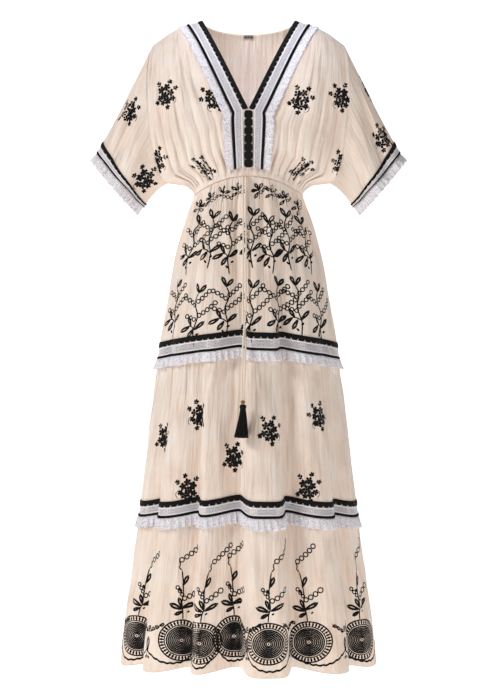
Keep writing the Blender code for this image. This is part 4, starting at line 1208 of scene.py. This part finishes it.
# Placket: a braid with scallops on both edges, over the centre front
vRow = int(bodiceShape["vShare"] * frontRows) + 1
lastRow = int(neckTrim["ends"] * frontRows)
placketRows = []
for row in range(vRow, lastRow + 1):
    point = plainFront[row, 0]
    half = neckTrim["placketHalf"]
    placketRows.append([(x, point[1] - 0.0022, point[2]) for x in (-half, -half / 2, 0.0, half / 2, half)])
placketGrid = np.transpose(np.array(placketRows), (1, 0, 2))
placketBand = Band(Panel(placketGrid, outward=1), np.linspace(-1, 1, 5) * neckTrim["placketHalf"])
scallopBraid("placket_braid", placketBand, -neckTrim["placketHalf"], neckTrim["placketHalf"], 0.0003, both=True,
             pitch=0.0168)
print("neck trim made")

# Cuff trim
cuffTrim = {"scallop_braid": (0.895, 0.935), "lace": (0.937, 0.982), "braid": (0.984, 1.000),
            "frillLength": 0.021, "frillGap": 0.0014, "swing": (-0.0015, 0.0035), "axis": (0.67, 0.0, -0.74),
            "sleeveLength": 0.262}
for side, sign in bodySides.items():
    panel = sleevePanels[side]
    sleeveLength = cuffTrim["sleeveLength"]
    alongs = np.linspace(0.88, 1.0, 10)
    rows = (alongs - 0.004) / 0.996 * sleeveRows
    ring = [panel.at(np.full(sleeveColumns, row), np.arange(sleeveColumns)) for row in rows]
    band = Band(Panel(ring, outward=panel.outward, closed=True), alongs * sleeveLength)
    out = trimLook["trimOut"]
    start, end = (value * sleeveLength for value in cuffTrim["scallop_braid"])
    scallopBraid("cuff_scallop_braid_" + side, band, start, end, out + 0.0004)
    laceBand("cuff_lace_" + side, band, *(value * sleeveLength for value in cuffTrim["lace"]), out)
    thinBraid("cuff_braid_" + side, band, *(value * sleeveLength for value in cuffTrim["braid"]), out + 0.0004)
    axis = np.array(cuffTrim["axis"]) * np.array([sign, 1.0, 1.0])
    edge = panel.at(np.full(sleeveColumns, float(sleeveRows)), np.arange(sleeveColumns))
    lengths = np.linspace(0, cuffTrim["frillLength"], 4)
    ring = [edge + axis * (cuffTrim["frillGap"] + reach) for reach in lengths]
    hang = Band(Panel(ring, outward=panel.outward, closed=True), lengths)
    gatheredFrill("cuff_frill_" + side, hang, 0.0, cuffTrim["frillLength"], 0.0006, cuffTrim["swing"], 31)
print("cuff trim made")

# Embroidery. Motifs are drawn flat in mm; places are x and down as seen from the front, in metres

def seenAt(panel, x, down):
    # place on a panel that the camera sees at this x and this height of the dress's middle plane
    depth = cameraView["distance"] + panel.points[:, :, 1]
    scale = cameraView["distance"] / depth
    seenX = cameraView["x"] + (panel.points[:, :, 0] - cameraView["x"]) * scale
    seenZ = cameraView["z"] + (panel.points[:, :, 2] - cameraView["z"]) * scale
    gap = (seenX - x) ** 2 + (seenZ + down) ** 2 + np.where(panel.points[:, :, 1] > 0.02, 1.0, 0.0)
    row, column = np.unravel_index(int(np.argmin(gap)), gap.shape)
    return float(row), float(column)


def wideTier(tier):
    # a tier's back, front and back again side by side, so that a motif can cross the side seams
    front, back = tierPanels[tier, "front"].points, tierPanels[tier, "back"].points
    return Panel(np.concatenate((back[:, :-1], front[:, :-1], back), axis=1))


def curvePoints(points, count):
    # a smooth line through a few points
    data = np.array(points, float)
    run = runLengths(data)
    table = {"run": run, "x": data[:, 0], "y": data[:, 1]}
    at = np.linspace(0, run[-1], count)
    return np.stack([tableValue(table, "run", "x", at), tableValue(table, "run", "y", at)], axis=1)


def ringChain(drawing, x, y, turn, count, radius, grows=0.0):
    # a row of touching rings that rises from a stem
    reach = radius
    for k in range(count):
        size = radius * (1 + grows * k)
        drawing.ring(x + reach * math.cos(turn), y + reach * math.sin(turn), size * 0.82, 3.1)
        reach += size * 2.05
        turn += 0.03


def medallion():
    drawing = Drawing()
    wide, high = 47.0, 41.0

    def oval(share, count=56):
        angles = np.linspace(0, 2 * math.pi, count, endpoint=False)
        return np.stack([wide * share * np.cos(angles), high * share * np.sin(angles)], axis=1)

    drawing.thread(oval(0.985), 3.6, 0.6, True)
    drawing.thread(oval(0.745, 48), 2.6, 0.6, True)
    bars = 38
    for k in range(bars):
        angle = 2 * math.pi * k / bars
        ends = [(wide * s * math.cos(angle), high * s * math.sin(angle)) for s in (0.75, 0.865, 0.975)]
        drawing.thread(ends, 5.4, 0.8)
    for share in (0.655, 0.575, 0.495, 0.415, 0.335, 0.255, 0.175, 0.105):
        drawing.thread(oval(share, 40 if share > 0.3 else 24), 3.95 if share > 0.15 else 3.0, 0.5, True)
    drawing.blob(0, 0, 2.2, 2.0, 0, 0.8)
    return drawing


def medallionStem(bend):
    # what grows from the top of a medallion
    drawing = Drawing()
    stem = curvePoints([(0, 41), (3 * bend, 58), (7 * bend, 66), (5 * bend, 92), (9 * bend, 122),
                        (14 * bend, 140)], 26)
    drawing.thread(stem, 3.2, 0.6)
    drawing.leaves(((6 * bend, 66, 23, 9.8, 112, 4.8), (4 * bend, 62, 32, 12.2, 160, 5.6),
                    (8 * bend, 64, 36, 11.2, 24, 5.4), (2 * bend, 58, 20, 9.0, 205, 4.8)))
    drawing.blob(10, 58, 3.6, 2.2, 0.6, 0.7)
    ringChain(drawing, 7 * bend, 82, math.radians(24), 4, 5.4, 0.05)
    ringChain(drawing, 5 * bend, 88, math.radians(122), 3, 4.2)
    drawing.leaf(8 * bend, 110, 25, 10.6, math.radians(64), 5.0)
    drawing.leaf(9 * bend, 96, 15, 7.0, math.radians(128), eye=False)
    stem = curvePoints([(14 * bend, 140), (22 * bend, 146), (20 * bend, 152), (24 * bend, 158)], 9)
    drawing.thread(stem, 3.0, 0.6)
    ringChain(drawing, 24 * bend, 158, math.radians(32), 5, 5.6)
    return drawing


def medallionJoint():
    # between two medallions: a chain of loops over the gap and an upright leaf in it
    drawing = Drawing()
    for x, y, long, turn in ((-27, 33, 7.5, 0.2), (-18, 30, 7, -0.9), (-9, 25, 8, -1.0), (0, 27, 7.5, 1.2),
                             (9, 26, 7.5, 0.7), (18, 31, 7, -0.6), (27, 34, 7.5, 0.1)):
        drawing.leaf(x - long * math.cos(turn) / 2, y - long * math.sin(turn) / 2, long * 1.4, 8.4, turn, 3.4)
    drawing.thread(curvePoints([(-32, 38), (-20, 29), (-6, 22), (6, 22), (20, 29), (32, 38)], 18), 2.6, 0.5)
    drawing.leaf(0, -20, 34, 11.5, math.radians(90), 5.0)
    drawing.thread([(0, -20), (-1, -27), (0, -34)], 2.6, 0.6)
    drawing.blob(-4, -30, 4.2, 2.6, 0.9, 0.7)
    drawing.blob(4, -30, 4.2, 2.6, 2.2, 0.7)
    return drawing


def twig(drawing, x, y, turn, length):
    # a short stem with small leaves on both sides and one at its tip
    tip = (x + length * math.cos(turn), y + length * math.sin(turn))
    drawing.thread([(x, y), ((x + tip[0]) / 2, (y + tip[1]) / 2), tip], 2.0, 0.5)
    for share, lean in ((0.45, 0.95), (0.62, -0.95), (0.95, 0.5), (1.0, -0.45)):
        angle = turn + lean
        foot = (x + length * share * math.cos(turn), y + length * share * math.sin(turn))
        drawing.blob(foot[0] + 3.2 * math.cos(angle), foot[1] + 3.2 * math.sin(angle), 3.8, 2.3, angle, 0.7, 7)


def flowerCluster(variant):
    # small five-petal flowers close together, short leafy twigs at the edges and a curl of stem
    drawing = Drawing()
    side = -1 if variant % 2 else 1
    flowers = ((-8, 10, 9.02), (5, 14, 8.14), (-2, -2, 9.68), (11, 3, 8.58), (-12, -5, 7.48), (4, -14, 8.8),
               (14, -10, 6.82), (-7, -15, 6.82))
    chance = random.Random(40 + variant)
    stem = [(-8 * side, 18), (2 * side, 8), (-2 * side, -4), (3 * side, -16), (1 * side, -25)]
    drawing.thread(curvePoints(stem, 14), 1.8, 0.4)
    for x, y, radius in flowers:
        middle = (side * x + chance.uniform(-1, 1), y + chance.uniform(-1, 1))
        drawing.flower(*middle, radius, chance.uniform(0, 1.2))
    twigs = ((-7, 17, 118, 9), (8, 20, 62, 6), (17, 7, 18, 7), (-16, -9, 205, 5), (3, -20, 262, 6))
    for x, y, turn, length in twigs:
        angle = math.radians(turn + chance.uniform(-10, 10))
        twig(drawing, side * x, y, angle if side > 0 else math.pi - angle, length)
    curl = np.linspace(-1.4, 3.4, 14)
    reach = 7.5 - curl
    drawing.thread(np.stack([side * (15 + reach * np.cos(curl)), -13 + reach * np.sin(curl)], axis=1), 1.6, 0.4)
    return drawing


def sprig(bend, high):
    # a long stem with a V of leaves on top, chains of rings and a group of leaves lower down
    drawing = Drawing()
    stem = curvePoints([(0, -high * 0.45), (-4 * bend, -high * 0.2), (3 * bend, high * 0.05),
                        (-5 * bend, high * 0.3), (2 * bend, high * 0.42)], 26)
    drawing.thread(stem, 3.4, 0.6)
    drawing.leaves(((2 * bend, high * 0.42, 25, 10.2, 116, 5.0),
                    (2 * bend, high * 0.42, 24, 10.2, 50, 5.0)))
    ringChain(drawing, -2 * bend, high * 0.26, math.radians(38), 4, 5.0)
    ringChain(drawing, -2 * bend, high * 0.20, math.radians(146), 4, 4.8)
    ringChain(drawing, 2 * bend, high * 0.04, math.radians(32), 5, 5.1)
    ringChain(drawing, 0, -high * 0.02, math.radians(160), 3, 4.8)
    # a side stalk to the left carries three leaves, and one leaf rises on the right
    stalk = [(-3 * bend, -high * 0.17), (-9, -high * 0.12), (-15, -high * 0.12)]
    drawing.thread(curvePoints(stalk, 8), 3.0, 0.6)
    drawing.leaves(((-14, -high * 0.12, 28, 10.6, 212, 5.2), (-10, -high * 0.12, 22, 9.6, 118, 4.8),
                    (-4, -high * 0.16, 26, 10.2, 236, 5.0), (-2 * bend, -high * 0.17, 31, 10.0, 40, 5.0)))
    drawing.blob(5, -high * 0.24, 4.6, 2.8, 0.5, 0.7)
    drawing.blob(-6, -high * 0.33, 4.6, 2.6, 2.2, 0.7)
    return drawing


def leafSpray(turn):
    # leaves and a few rings, where a sprig is cut off by the waist seam
    drawing = Drawing()
    drawing.leaves(((0, 0, 27, 10.8, 160 + turn, 5.4), (0, 0, 25, 10.2, 35 + turn, 5.1),
                    (0, 2, 21, 10, 95 + turn, 5.0), (-2, -6, 22, 10, 215 + turn, 5.0)))
    drawing.thread([(0, 4), (1, -8), (0, -24)], 3.2, 0.6)
    ringChain(drawing, 2, -8, math.radians(10 + turn), 3, 4.8)
    return drawing


# Places of the motifs: x and down as seen from the front
medallionPlaces = ((-0.236, 1.287), (-0.142, 1.296), (-0.104, 1.306), (-0.030, 1.291), (0.041, 1.308),
                   (0.129, 1.300), (0.236, 1.299))
upperSprigs = (
    (-0.118, 0.476, 1), (-0.080, 0.466, -1), (-0.040, 0.472, 1), (0.008, 0.462, 1), (0.048, 0.472, -1),
    (0.084, 0.464, 1), (0.122, 0.476, -1), (-0.152, 0.612, -1), (-0.110, 0.622, 1), (-0.048, 0.610, -1),
    (0.006, 0.618, 1), (0.062, 0.612, 1), (0.104, 0.606, -1), (0.150, 0.620, 1),
)
sprayPlaces = ((-0.102, 0.390), (-0.080, 0.372), (-0.052, 0.360), (-0.022, 0.352),
               (0.020, 0.352), (0.048, 0.358), (0.076, 0.370), (0.102, 0.388))
middleClusters = ((-0.174, 0.871), (-0.103, 0.824), (0.045, 0.856), (0.148, 0.827), (-0.033, 0.915),
                  (-0.126, 0.979), (0.122, 0.979))
bodiceClusters = {
    "right": ((-0.175, 0.151), (-0.074, 0.160), (-0.192, 0.290), (-0.093, 0.307)),
    "left": ((0.108, 0.164), (0.196, 0.158), (0.110, 0.307), (0.194, 0.298)),
}
# Places out of sight, as shares of the back's width and height and of a sleeve's length and turn
backClusters = ((0.14, 0.45), (0.30, 0.30), (0.50, 0.42), (0.70, 0.30), (0.86, 0.45),
                (0.24, 0.72), (0.42, 0.80), (0.60, 0.72), (0.78, 0.80))
sleeveBackClusters = ((0.35, 0.72), (0.70, 0.78))
sleeveClusters = {"right": ((-0.249, 0.189), (-0.215, 0.330)), "left": ((0.257, 0.137), (0.282, 0.244))}

lowerWide = wideTier("lower")
lowerStitching = Stitching(lowerWide)
lowerFront = tierPanels["lower", "front"]
centres = []
for x, down in medallionPlaces:
    row, column = seenAt(lowerFront, x, down)
    centres.append((row, column + halfColumns))
# more medallions round the back, as far apart on the cloth as those in front
middleRow = int(np.mean([row for row, column in centres]))
ringLength = lowerWide.acrossLength[middleRow]
ringStops = np.arange(len(ringLength))
frontFirst = min(column for row, column in centres)
frontLast = max(column for row, column in centres)
spanStart = float(np.interp(frontLast, ringStops, ringLength))
spanEnd = float(np.interp(frontFirst + 2 * halfColumns, ringStops, ringLength, right=ringLength[-1] + 0.03))
medallionPitch = 0.118
count = int(round((spanEnd - spanStart) / medallionPitch))
backLengths = [spanStart + (spanEnd - spanStart) * k / count for k in range(1, count)]
for length in backLengths:
    centres.append((float(middleRow), float(np.interp(length, ringLength, ringStops))))
disc = medallion()
stems = (medallionStem(0.7), medallionStem(-0.7))
for number, (row, column) in enumerate(centres):
    lowerStitching.lay(disc, row, column)
    lowerStitching.lay(stems[number % 2], row, column)
ordered = sorted(column for row, column in centres)
joint = medallionJoint()
jointFrom = 0.085            # medallions closer than this have no loops and leaf between them
for first, last in zip(ordered[:-1], ordered[1:]):
    a, b = np.interp((first, last), ringStops, ringLength)
    if b - a > jointFrom:
        middle = float(np.interp((a + b) / 2, ringLength, ringStops))
        lowerStitching.lay(joint, middleRow, middle)
print("medallions laid")

# The scalloped line under the medallions: a wide scallop for each, with small waves in it
hemBorder = {"under": 0.0475, "rise": 0.034, "wave": 0.0020, "wavePitch": 0.0135, "width": 0.0048}
placesAlong = np.interp(ordered, ringStops, ringLength)
ringAll = float(ringLength[2 * halfColumns])
placesAlong = np.concatenate((placesAlong, [placesAlong[0] + ringAll]))
us = np.arange(placesAlong[0], placesAlong[-1], 0.0026)
us = np.concatenate((us, [placesAlong[-1]]))
k = np.clip(np.searchsorted(placesAlong, us, side="right") - 1, 0, len(placesAlong) - 2)
share = (us - placesAlong[k]) / (placesAlong[k + 1] - placesAlong[k])
drops = hemBorder["under"] - hemBorder["rise"] * (1 - np.abs(1 - 2 * share)) ** 2.2
drops = drops + hemBorder["wave"] * np.abs(np.sin(math.pi * us / hemBorder["wavePitch"]))
us = np.where(us > ringLength[-1] - 0.001, us - ringAll, us)
lowerStitching.line(np.interp(us, ringLength, ringStops), middleRow, drops, hemBorder["width"])
lowerStitching.finish("embroidery_lower_tier")

# Upper tier: sprigs and, under the waist seam, cut-off leaves; the back repeats the front
upperStitching = Stitching(wideTier("upper"))
upperFront = tierPanels["upper", "front"]
sprigs = {1: sprig(1.0, 128.0), -1: sprig(-1.0, 122.0)}
sprays = (leafSpray(0), leafSpray(25), leafSpray(-20))
for x, down, bend in upperSprigs:
    row, column = seenAt(upperFront, x, down)
    upperStitching.lay(sprigs[bend], row, column + halfColumns)
    upperStitching.lay(sprigs[-bend], row, column + 2 * halfColumns)
for number, (x, down) in enumerate(sprayPlaces):
    row, column = seenAt(upperFront, x, down)
    upperStitching.lay(sprays[number % 3], row, column + halfColumns, 0.0, 0.78)
    upperStitching.lay(sprays[number % 3], row, column + 2 * halfColumns, 0.0, 0.78)
upperStitching.finish("embroidery_upper_tier")

clusters = [flowerCluster(variant) for variant in range(4)]
middleStitching = Stitching(wideTier("middle"))
for number, (x, down) in enumerate(middleClusters):
    row, column = seenAt(tierPanels["middle", "front"], x, down)
    tilt = (0.1, -0.15, 0.05, 0.2)[number % 4]
    middleStitching.lay(clusters[number % 4], row, column + halfColumns, tilt)
    middleStitching.lay(clusters[(number + 1) % 4], row, column + 2 * halfColumns, -tilt)
middleStitching.finish("embroidery_middle_tier")

for side, places in bodiceClusters.items():
    stitching = Stitching(bodicePanels[side])
    for number, (x, down) in enumerate(places):
        row, column = seenAt(bodicePanels[side], x, down)
        stitching.lay(clusters[number % 4], row, column, (0.0, 0.2, -0.1, 0.1)[number % 4])
    stitching.finish("embroidery_bodice_" + side)
backStitching = Stitching(bodicePanels["back"])
for number, (across, share) in enumerate(backClusters):
    column = across * 2 * backHalfColumns
    backStitching.lay(clusters[number % 4], share * frontRows, column, 0.1 * (number % 3 - 1))
backStitching.finish("embroidery_bodice_back")
for side, places in sleeveClusters.items():
    stitching = Stitching(sleevePanels[side])
    sign = bodySides[side]
    for number, (x, down) in enumerate(places):
        row, column = seenAt(sleevePanels[side], x, down)
        stitching.lay(clusters[(number + 2) % 4], row, column, -0.35 * sign)
    for number, (share, turn) in enumerate(sleeveBackClusters):
        stitching.lay(clusters[number], share * sleeveRows, turn * sleeveColumns, 0.35 * sign)
    stitching.finish("embroidery_sleeve_" + side)
print("embroidery laid")

# Drawstring: two twisted cords, brass bead and tassel; the route is the frame's
cordRoute = {
    "share": (0.00, 0.02, 0.05, 0.14, 0.31, 0.50, 0.63, 0.68, 0.73, 0.83, 0.94, 1.00),
    "down": (0.3330, 0.3345, 0.3460, 0.3900, 0.4700, 0.5600, 0.6200, 0.6420, 0.6640, 0.7100, 0.7600, 0.7884),
    "rightX": (-0.0115, -0.0116, -0.0118, -0.0112, -0.0104, -0.0112,
               -0.0100, -0.0080, -0.0062, -0.0066, -0.0080, -0.0087),
    "leftX": (-0.0050, -0.0051, -0.0052, -0.0056, -0.0050, -0.0054,
              -0.0064, -0.0084, -0.0102, -0.0116, -0.0128, -0.0133),
    "rightOut": (0.0004, 0.0065, 0.0100, 0.0095, 0.0090, 0.0095,
                 0.0090, 0.0090, 0.0105, 0.0165, 0.0178, 0.0185),
    "leftOut": (0.0004, 0.0062, 0.0095, 0.0085, 0.0085, 0.0090,
                0.0125, 0.0142, 0.0135, 0.0165, 0.0178, 0.0185),
}
cordLook = {"radius": 0.002, "plyReach": 0.00088, "plyRadius": 0.00112, "twist": 0.0078, "step": 0.0013}
frameWall = 0.0015
tasselLook = {"x": -0.011, "out": 0.0185, "beadDown": 0.7925, "beadRadius": 0.0047, "top": 0.7966,
              "length": 0.067, "strands": 380, "strandsBelow": 0.0104, "lean": 0.6}


def frontFace(down):
    return -tableValue(skirtShape, "down", "halfDepth", np.maximum(down, skirtShape["down"][0]))


def cordLine(side):
    shares = np.linspace(0, 1, 900)
    value = {key: tableValue(cordRoute, "share", key, shares) for key in ("down", side + "X", side + "Out")}
    y = frontFace(value["down"]) - frameWall - value[side + "Out"]
    fine = np.stack([value[side + "X"], y, -value["down"]], 1)
    run = runLengths(fine)
    at = np.linspace(0, run[-1], int(run[-1] / cordLook["step"]) + 1)
    return np.stack([np.interp(at, run, fine[:, k]) for k in range(3)], axis=1), float(run[-1])


def twistedCord(name, line):
    # three plies wound round the centre line, each a small tube
    tangent = unitVectors(np.gradient(line, axis=0))
    side = unitVectors(np.cross(tangent, np.array([0.0, 1.0, 0.0])))
    third = np.cross(tangent, side)
    turn = 2 * math.pi * np.arange(len(line)) * cordLook["step"] / cordLook["twist"]
    vertices, faces = [], []
    sides = 6
    for ply in range(3):
        angle = turn + 2 * math.pi * ply / 3
        centre = line + cordLook["plyReach"] * (side * np.cos(angle)[:, None] + third * np.sin(angle)[:, None])
        base = len(vertices)
        for k in range(len(line)):
            for j in range(sides):
                a = 2 * math.pi * j / sides
                ring = side[k] * math.cos(a) + third[k] * math.sin(a)
                vertices.append(centre[k] + cordLook["plyRadius"] * ring)
        faces += tubeFaces(len(line), sides, base)
    return meshObject(name, vertices, faces, cordCotton)


def turned(name, profile, segments, centre, material):
    # a shape turned round the vertical axis from (radius, height) pairs
    vertices = []
    for radius, height in profile:
        for k in range(segments):
            angle = 2 * math.pi * k / segments
            vertices.append((centre[0] + radius * math.cos(angle), centre[1] + radius * math.sin(angle),
                             centre[2] + height))
    faces = [face[::-1] for face in tubeFaces(len(profile), segments)]
    return meshObject(name, vertices, faces, material)


def tasselPlace(down):
    return np.array([tasselLook["x"], float(frontFace(down)) - frameWall - tasselLook["out"], -down])


beadRadius = tasselLook["beadRadius"]
beadProfile = []
beadSteps = 18
for k in range(beadSteps + 1):
    angle = math.pi / 2 - math.pi * k / beadSteps
    groove = 0.93 if k in (5, 9, 13) else 1.0
    beadProfile.append((max(beadRadius * math.cos(angle) * groove, 0.0006), beadRadius * 0.8 * math.sin(angle)))
bead = turned("drawstring_bead_brass", beadProfile, 28, tasselPlace(tasselLook["beadDown"]), brass)
finishTrim(bead, "drawstring_bead")

head = tasselPlace(tasselLook["top"])
headProfile = ((0.0006, 0.0), (0.0030, -0.0002), (0.0048, -0.0010), (0.0063, -0.0026), (0.0069, -0.0048),
               (0.0068, -0.0066), (0.0060, -0.0080), (0.0057, -0.0088), (0.0061, -0.0092), (0.0062, -0.0102),
               (0.0058, -0.0108), (0.0059, -0.0114), (0.0020, -0.0118))
tasselHead = turned("tassel_head", headProfile, 30, head, thread)
finishTrim(tasselHead, "drawstring_tassel")
roots, hang = [], []
chance = random.Random(5)
for k in range(tasselLook["strands"]):
    reach = math.sqrt((k + 0.5) / tasselLook["strands"])
    angle = 2.39996 * k
    lean = tasselLook["lean"] if math.cos(angle) > 0 else 1.0
    root = head + np.array([0.0052 * reach * math.cos(angle), 0.0052 * reach * math.sin(angle), -0.0100])
    flare = 0.0182 * reach * chance.uniform(0.9, 1.06)
    foot = head + np.array([flare * lean * math.cos(angle), flare * math.sin(angle),
                            -tasselLook["length"] + 0.0014 * chance.random()])
    roots.append(root)
    hang.append((foot - root) / np.linalg.norm(foot - root))
strandLength = tasselLook["length"] - tasselLook["strandsBelow"]
strands = placeUnits("tassel_strands", roots, hang, np.tile([1.0, 0.0, 0.0], (len(roots), 1)), tasselStrand,
                     strandLength, 0.015, 9, thread)

for side, end in (("left", "fitting"), ("right", "object")):
    line, length = cordLine(side)
    cord = twistedCord("drawstring_{}_cord".format(side), line)
    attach(cord, clothBody)
    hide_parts("drawstring_" + side)
    print("cord", side, round(length, 4))

# Neck: the ribbon tab and the seam down the inside of the back
back = bodicePanels["back"]
tabLook = {"width": 0.020, "height": 0.007, "thick": 0.0008, "columns": 11}
middle = float(backHalfColumns)
edge = back.at(0.0, middle)
lower = back.at(2.0, middle)
alongBack = (lower - edge) / np.linalg.norm(lower - edge)
inward = back.at(0.0, middle, -1.0) - edge
tabGrid = []
for share in np.linspace(0, 1, 4):
    row = []
    for x in np.linspace(-tabLook["width"] / 2, tabLook["width"] / 2, tabLook["columns"]):
        row.append(edge + alongBack * (0.001 + tabLook["height"] * share) + inward * (0.0014 + 8.0 * x * x)
                   + np.array([x, 0.0, 0.0]))
    tabGrid.append(row)
tabPanel = Panel(tabGrid)
tab = clothObject("neck_tab_ribbon", tabPanel, ribbonGrey, tabLook["thick"], 0.0)
bake(tab)
finishTrim(tab, "neck_tab")


def seamLine(name, panel, rows, columns, width, height, out):
    # a raised seam or rolled edge along places on a panel
    drawn = panel.at(rows, columns, out)
    along = unitVectors(np.gradient(drawn, axis=0))
    outward = unitVectors(panel.at(rows, columns, out + mm) - drawn)
    beside = np.cross(outward, along)
    corners = ((-0.5, 0.0), (-0.3, 0.8), (0.0, 1.0), (0.3, 0.8), (0.5, 0.0), (0.0, -0.25))
    vertices = []
    for k in range(len(drawn)):
        for a, b in corners:
            vertices.append(drawn[k] + beside[k] * a * width + outward[k] * b * height)
    made = meshObject(name, vertices, tubeFaces(len(drawn), len(corners)), voile)
    finishTrim(made)


backRows = np.linspace(0, frontRows * 0.96, 60)
seamLine("back_centre_seam", back, backRows, np.full(60, middle), 0.0036, -0.0004, -0.0001)
neckColumns = np.linspace((1 - bodiceShape["backNeckShare"]) * backHalfColumns,
                          (1 + bodiceShape["backNeckShare"]) * backHalfColumns, 90)
seamLine("back_neck_edge", back, np.full(90, 0.35), neckColumns, 0.0032, 0.0006, clothOut + clothThick)
for side in ("front", "back"):
    panel = tierPanels["lower", side]
    columns = np.linspace(0, halfColumns, 2 * halfColumns)
    rows = np.full(len(columns), tiers["lower"]["rows"] - 0.25)
    seamLine("hem_edge_" + side, panel, rows, columns, 0.0022, 0.0007, clothOut + clothThick * 0.6)
hemBand = tierBand("lower", np.linspace(1.30, 1.342, 6))
topStitch("hem_stitches", hemBand, 1.330, clothOut + clothThick + 0.0001)
for unit in unitSources:
    bpy.data.objects.remove(unit, do_unlink=True)
print("drawstring, tab and seams made")

# Stage and light
studio = {"world": 0.17, "worldColour": "FFF6F0", "key": 80, "fill": 26, "rim": 30, "neck": 0.3, "glow": 0.76,
          "floorDown": 1.72}


def addAreaLight(name, place, target, size, power, colour="FFFFFF", spread=math.pi):
    light = bpy.data.lights.new(name, "AREA")
    light.color = linearColour(colour)[:3]
    light.size = size
    light.energy = power
    light.spread = spread
    made = bpy.data.objects.new(name, light)
    made.location = place
    made.rotation_euler = (Vector(target) - Vector(place)).to_track_quat("-Z", "Y").to_euler()
    bpy.context.scene.collection.objects.link(made)


world = bpy.data.worlds.new("studio")
world.use_nodes = True
world.node_tree.nodes["Background"].inputs["Color"].default_value = linearColour(studio["worldColour"])
world.node_tree.nodes["Background"].inputs["Strength"].default_value = studio["world"]
bpy.context.scene.world = world
bpy.context.scene.view_settings.view_transform = "Standard"
addAreaLight("key", (-2.9, -2.0, 1.2), (0.0, 0.0, -0.6), 1.1, studio["key"])
addAreaLight("fill", (2.6, -2.4, 0.2), (0.0, 0.0, -0.7), 2.0, studio["fill"])
addAreaLight("neck", (0.0, -1.3, 1.0), (0.0, 0.06, -0.07), 0.16, studio["neck"], "E6EEFF", math.radians(16))
addAreaLight("rim", (0.0, 2.4, 1.6), (0.0, 0.0, -0.5), 2.0, studio["rim"])
floorMaterial, floorShader = newMaterial("paleStudioFloor", 0.9)
floorShader.inputs["Base Color"].default_value = linearColour("FFFFFF")
floorShader.inputs["Emission Color"].default_value = linearColour("FFFFFF")
floorShader.inputs["Emission Strength"].default_value = studio["glow"]
profile = [(-3.5, 0.0), (6.2, 0.0), (6.9, 0.08), (7.4, 0.45), (7.6, 1.2), (7.6, 4.6)]
floorPoints, floorFaces = [], []
for y, up in profile:
    floorPoints += [(-5.0, y, up - studio["floorDown"]), (5.0, y, up - studio["floorDown"])]
for k in range(len(profile) - 1):
    floorFaces.append((2 * k, 2 * k + 1, 2 * k + 3, 2 * k + 2))
floor = meshObject("floor", floorPoints, floorFaces, floorMaterial)
print("stage made")
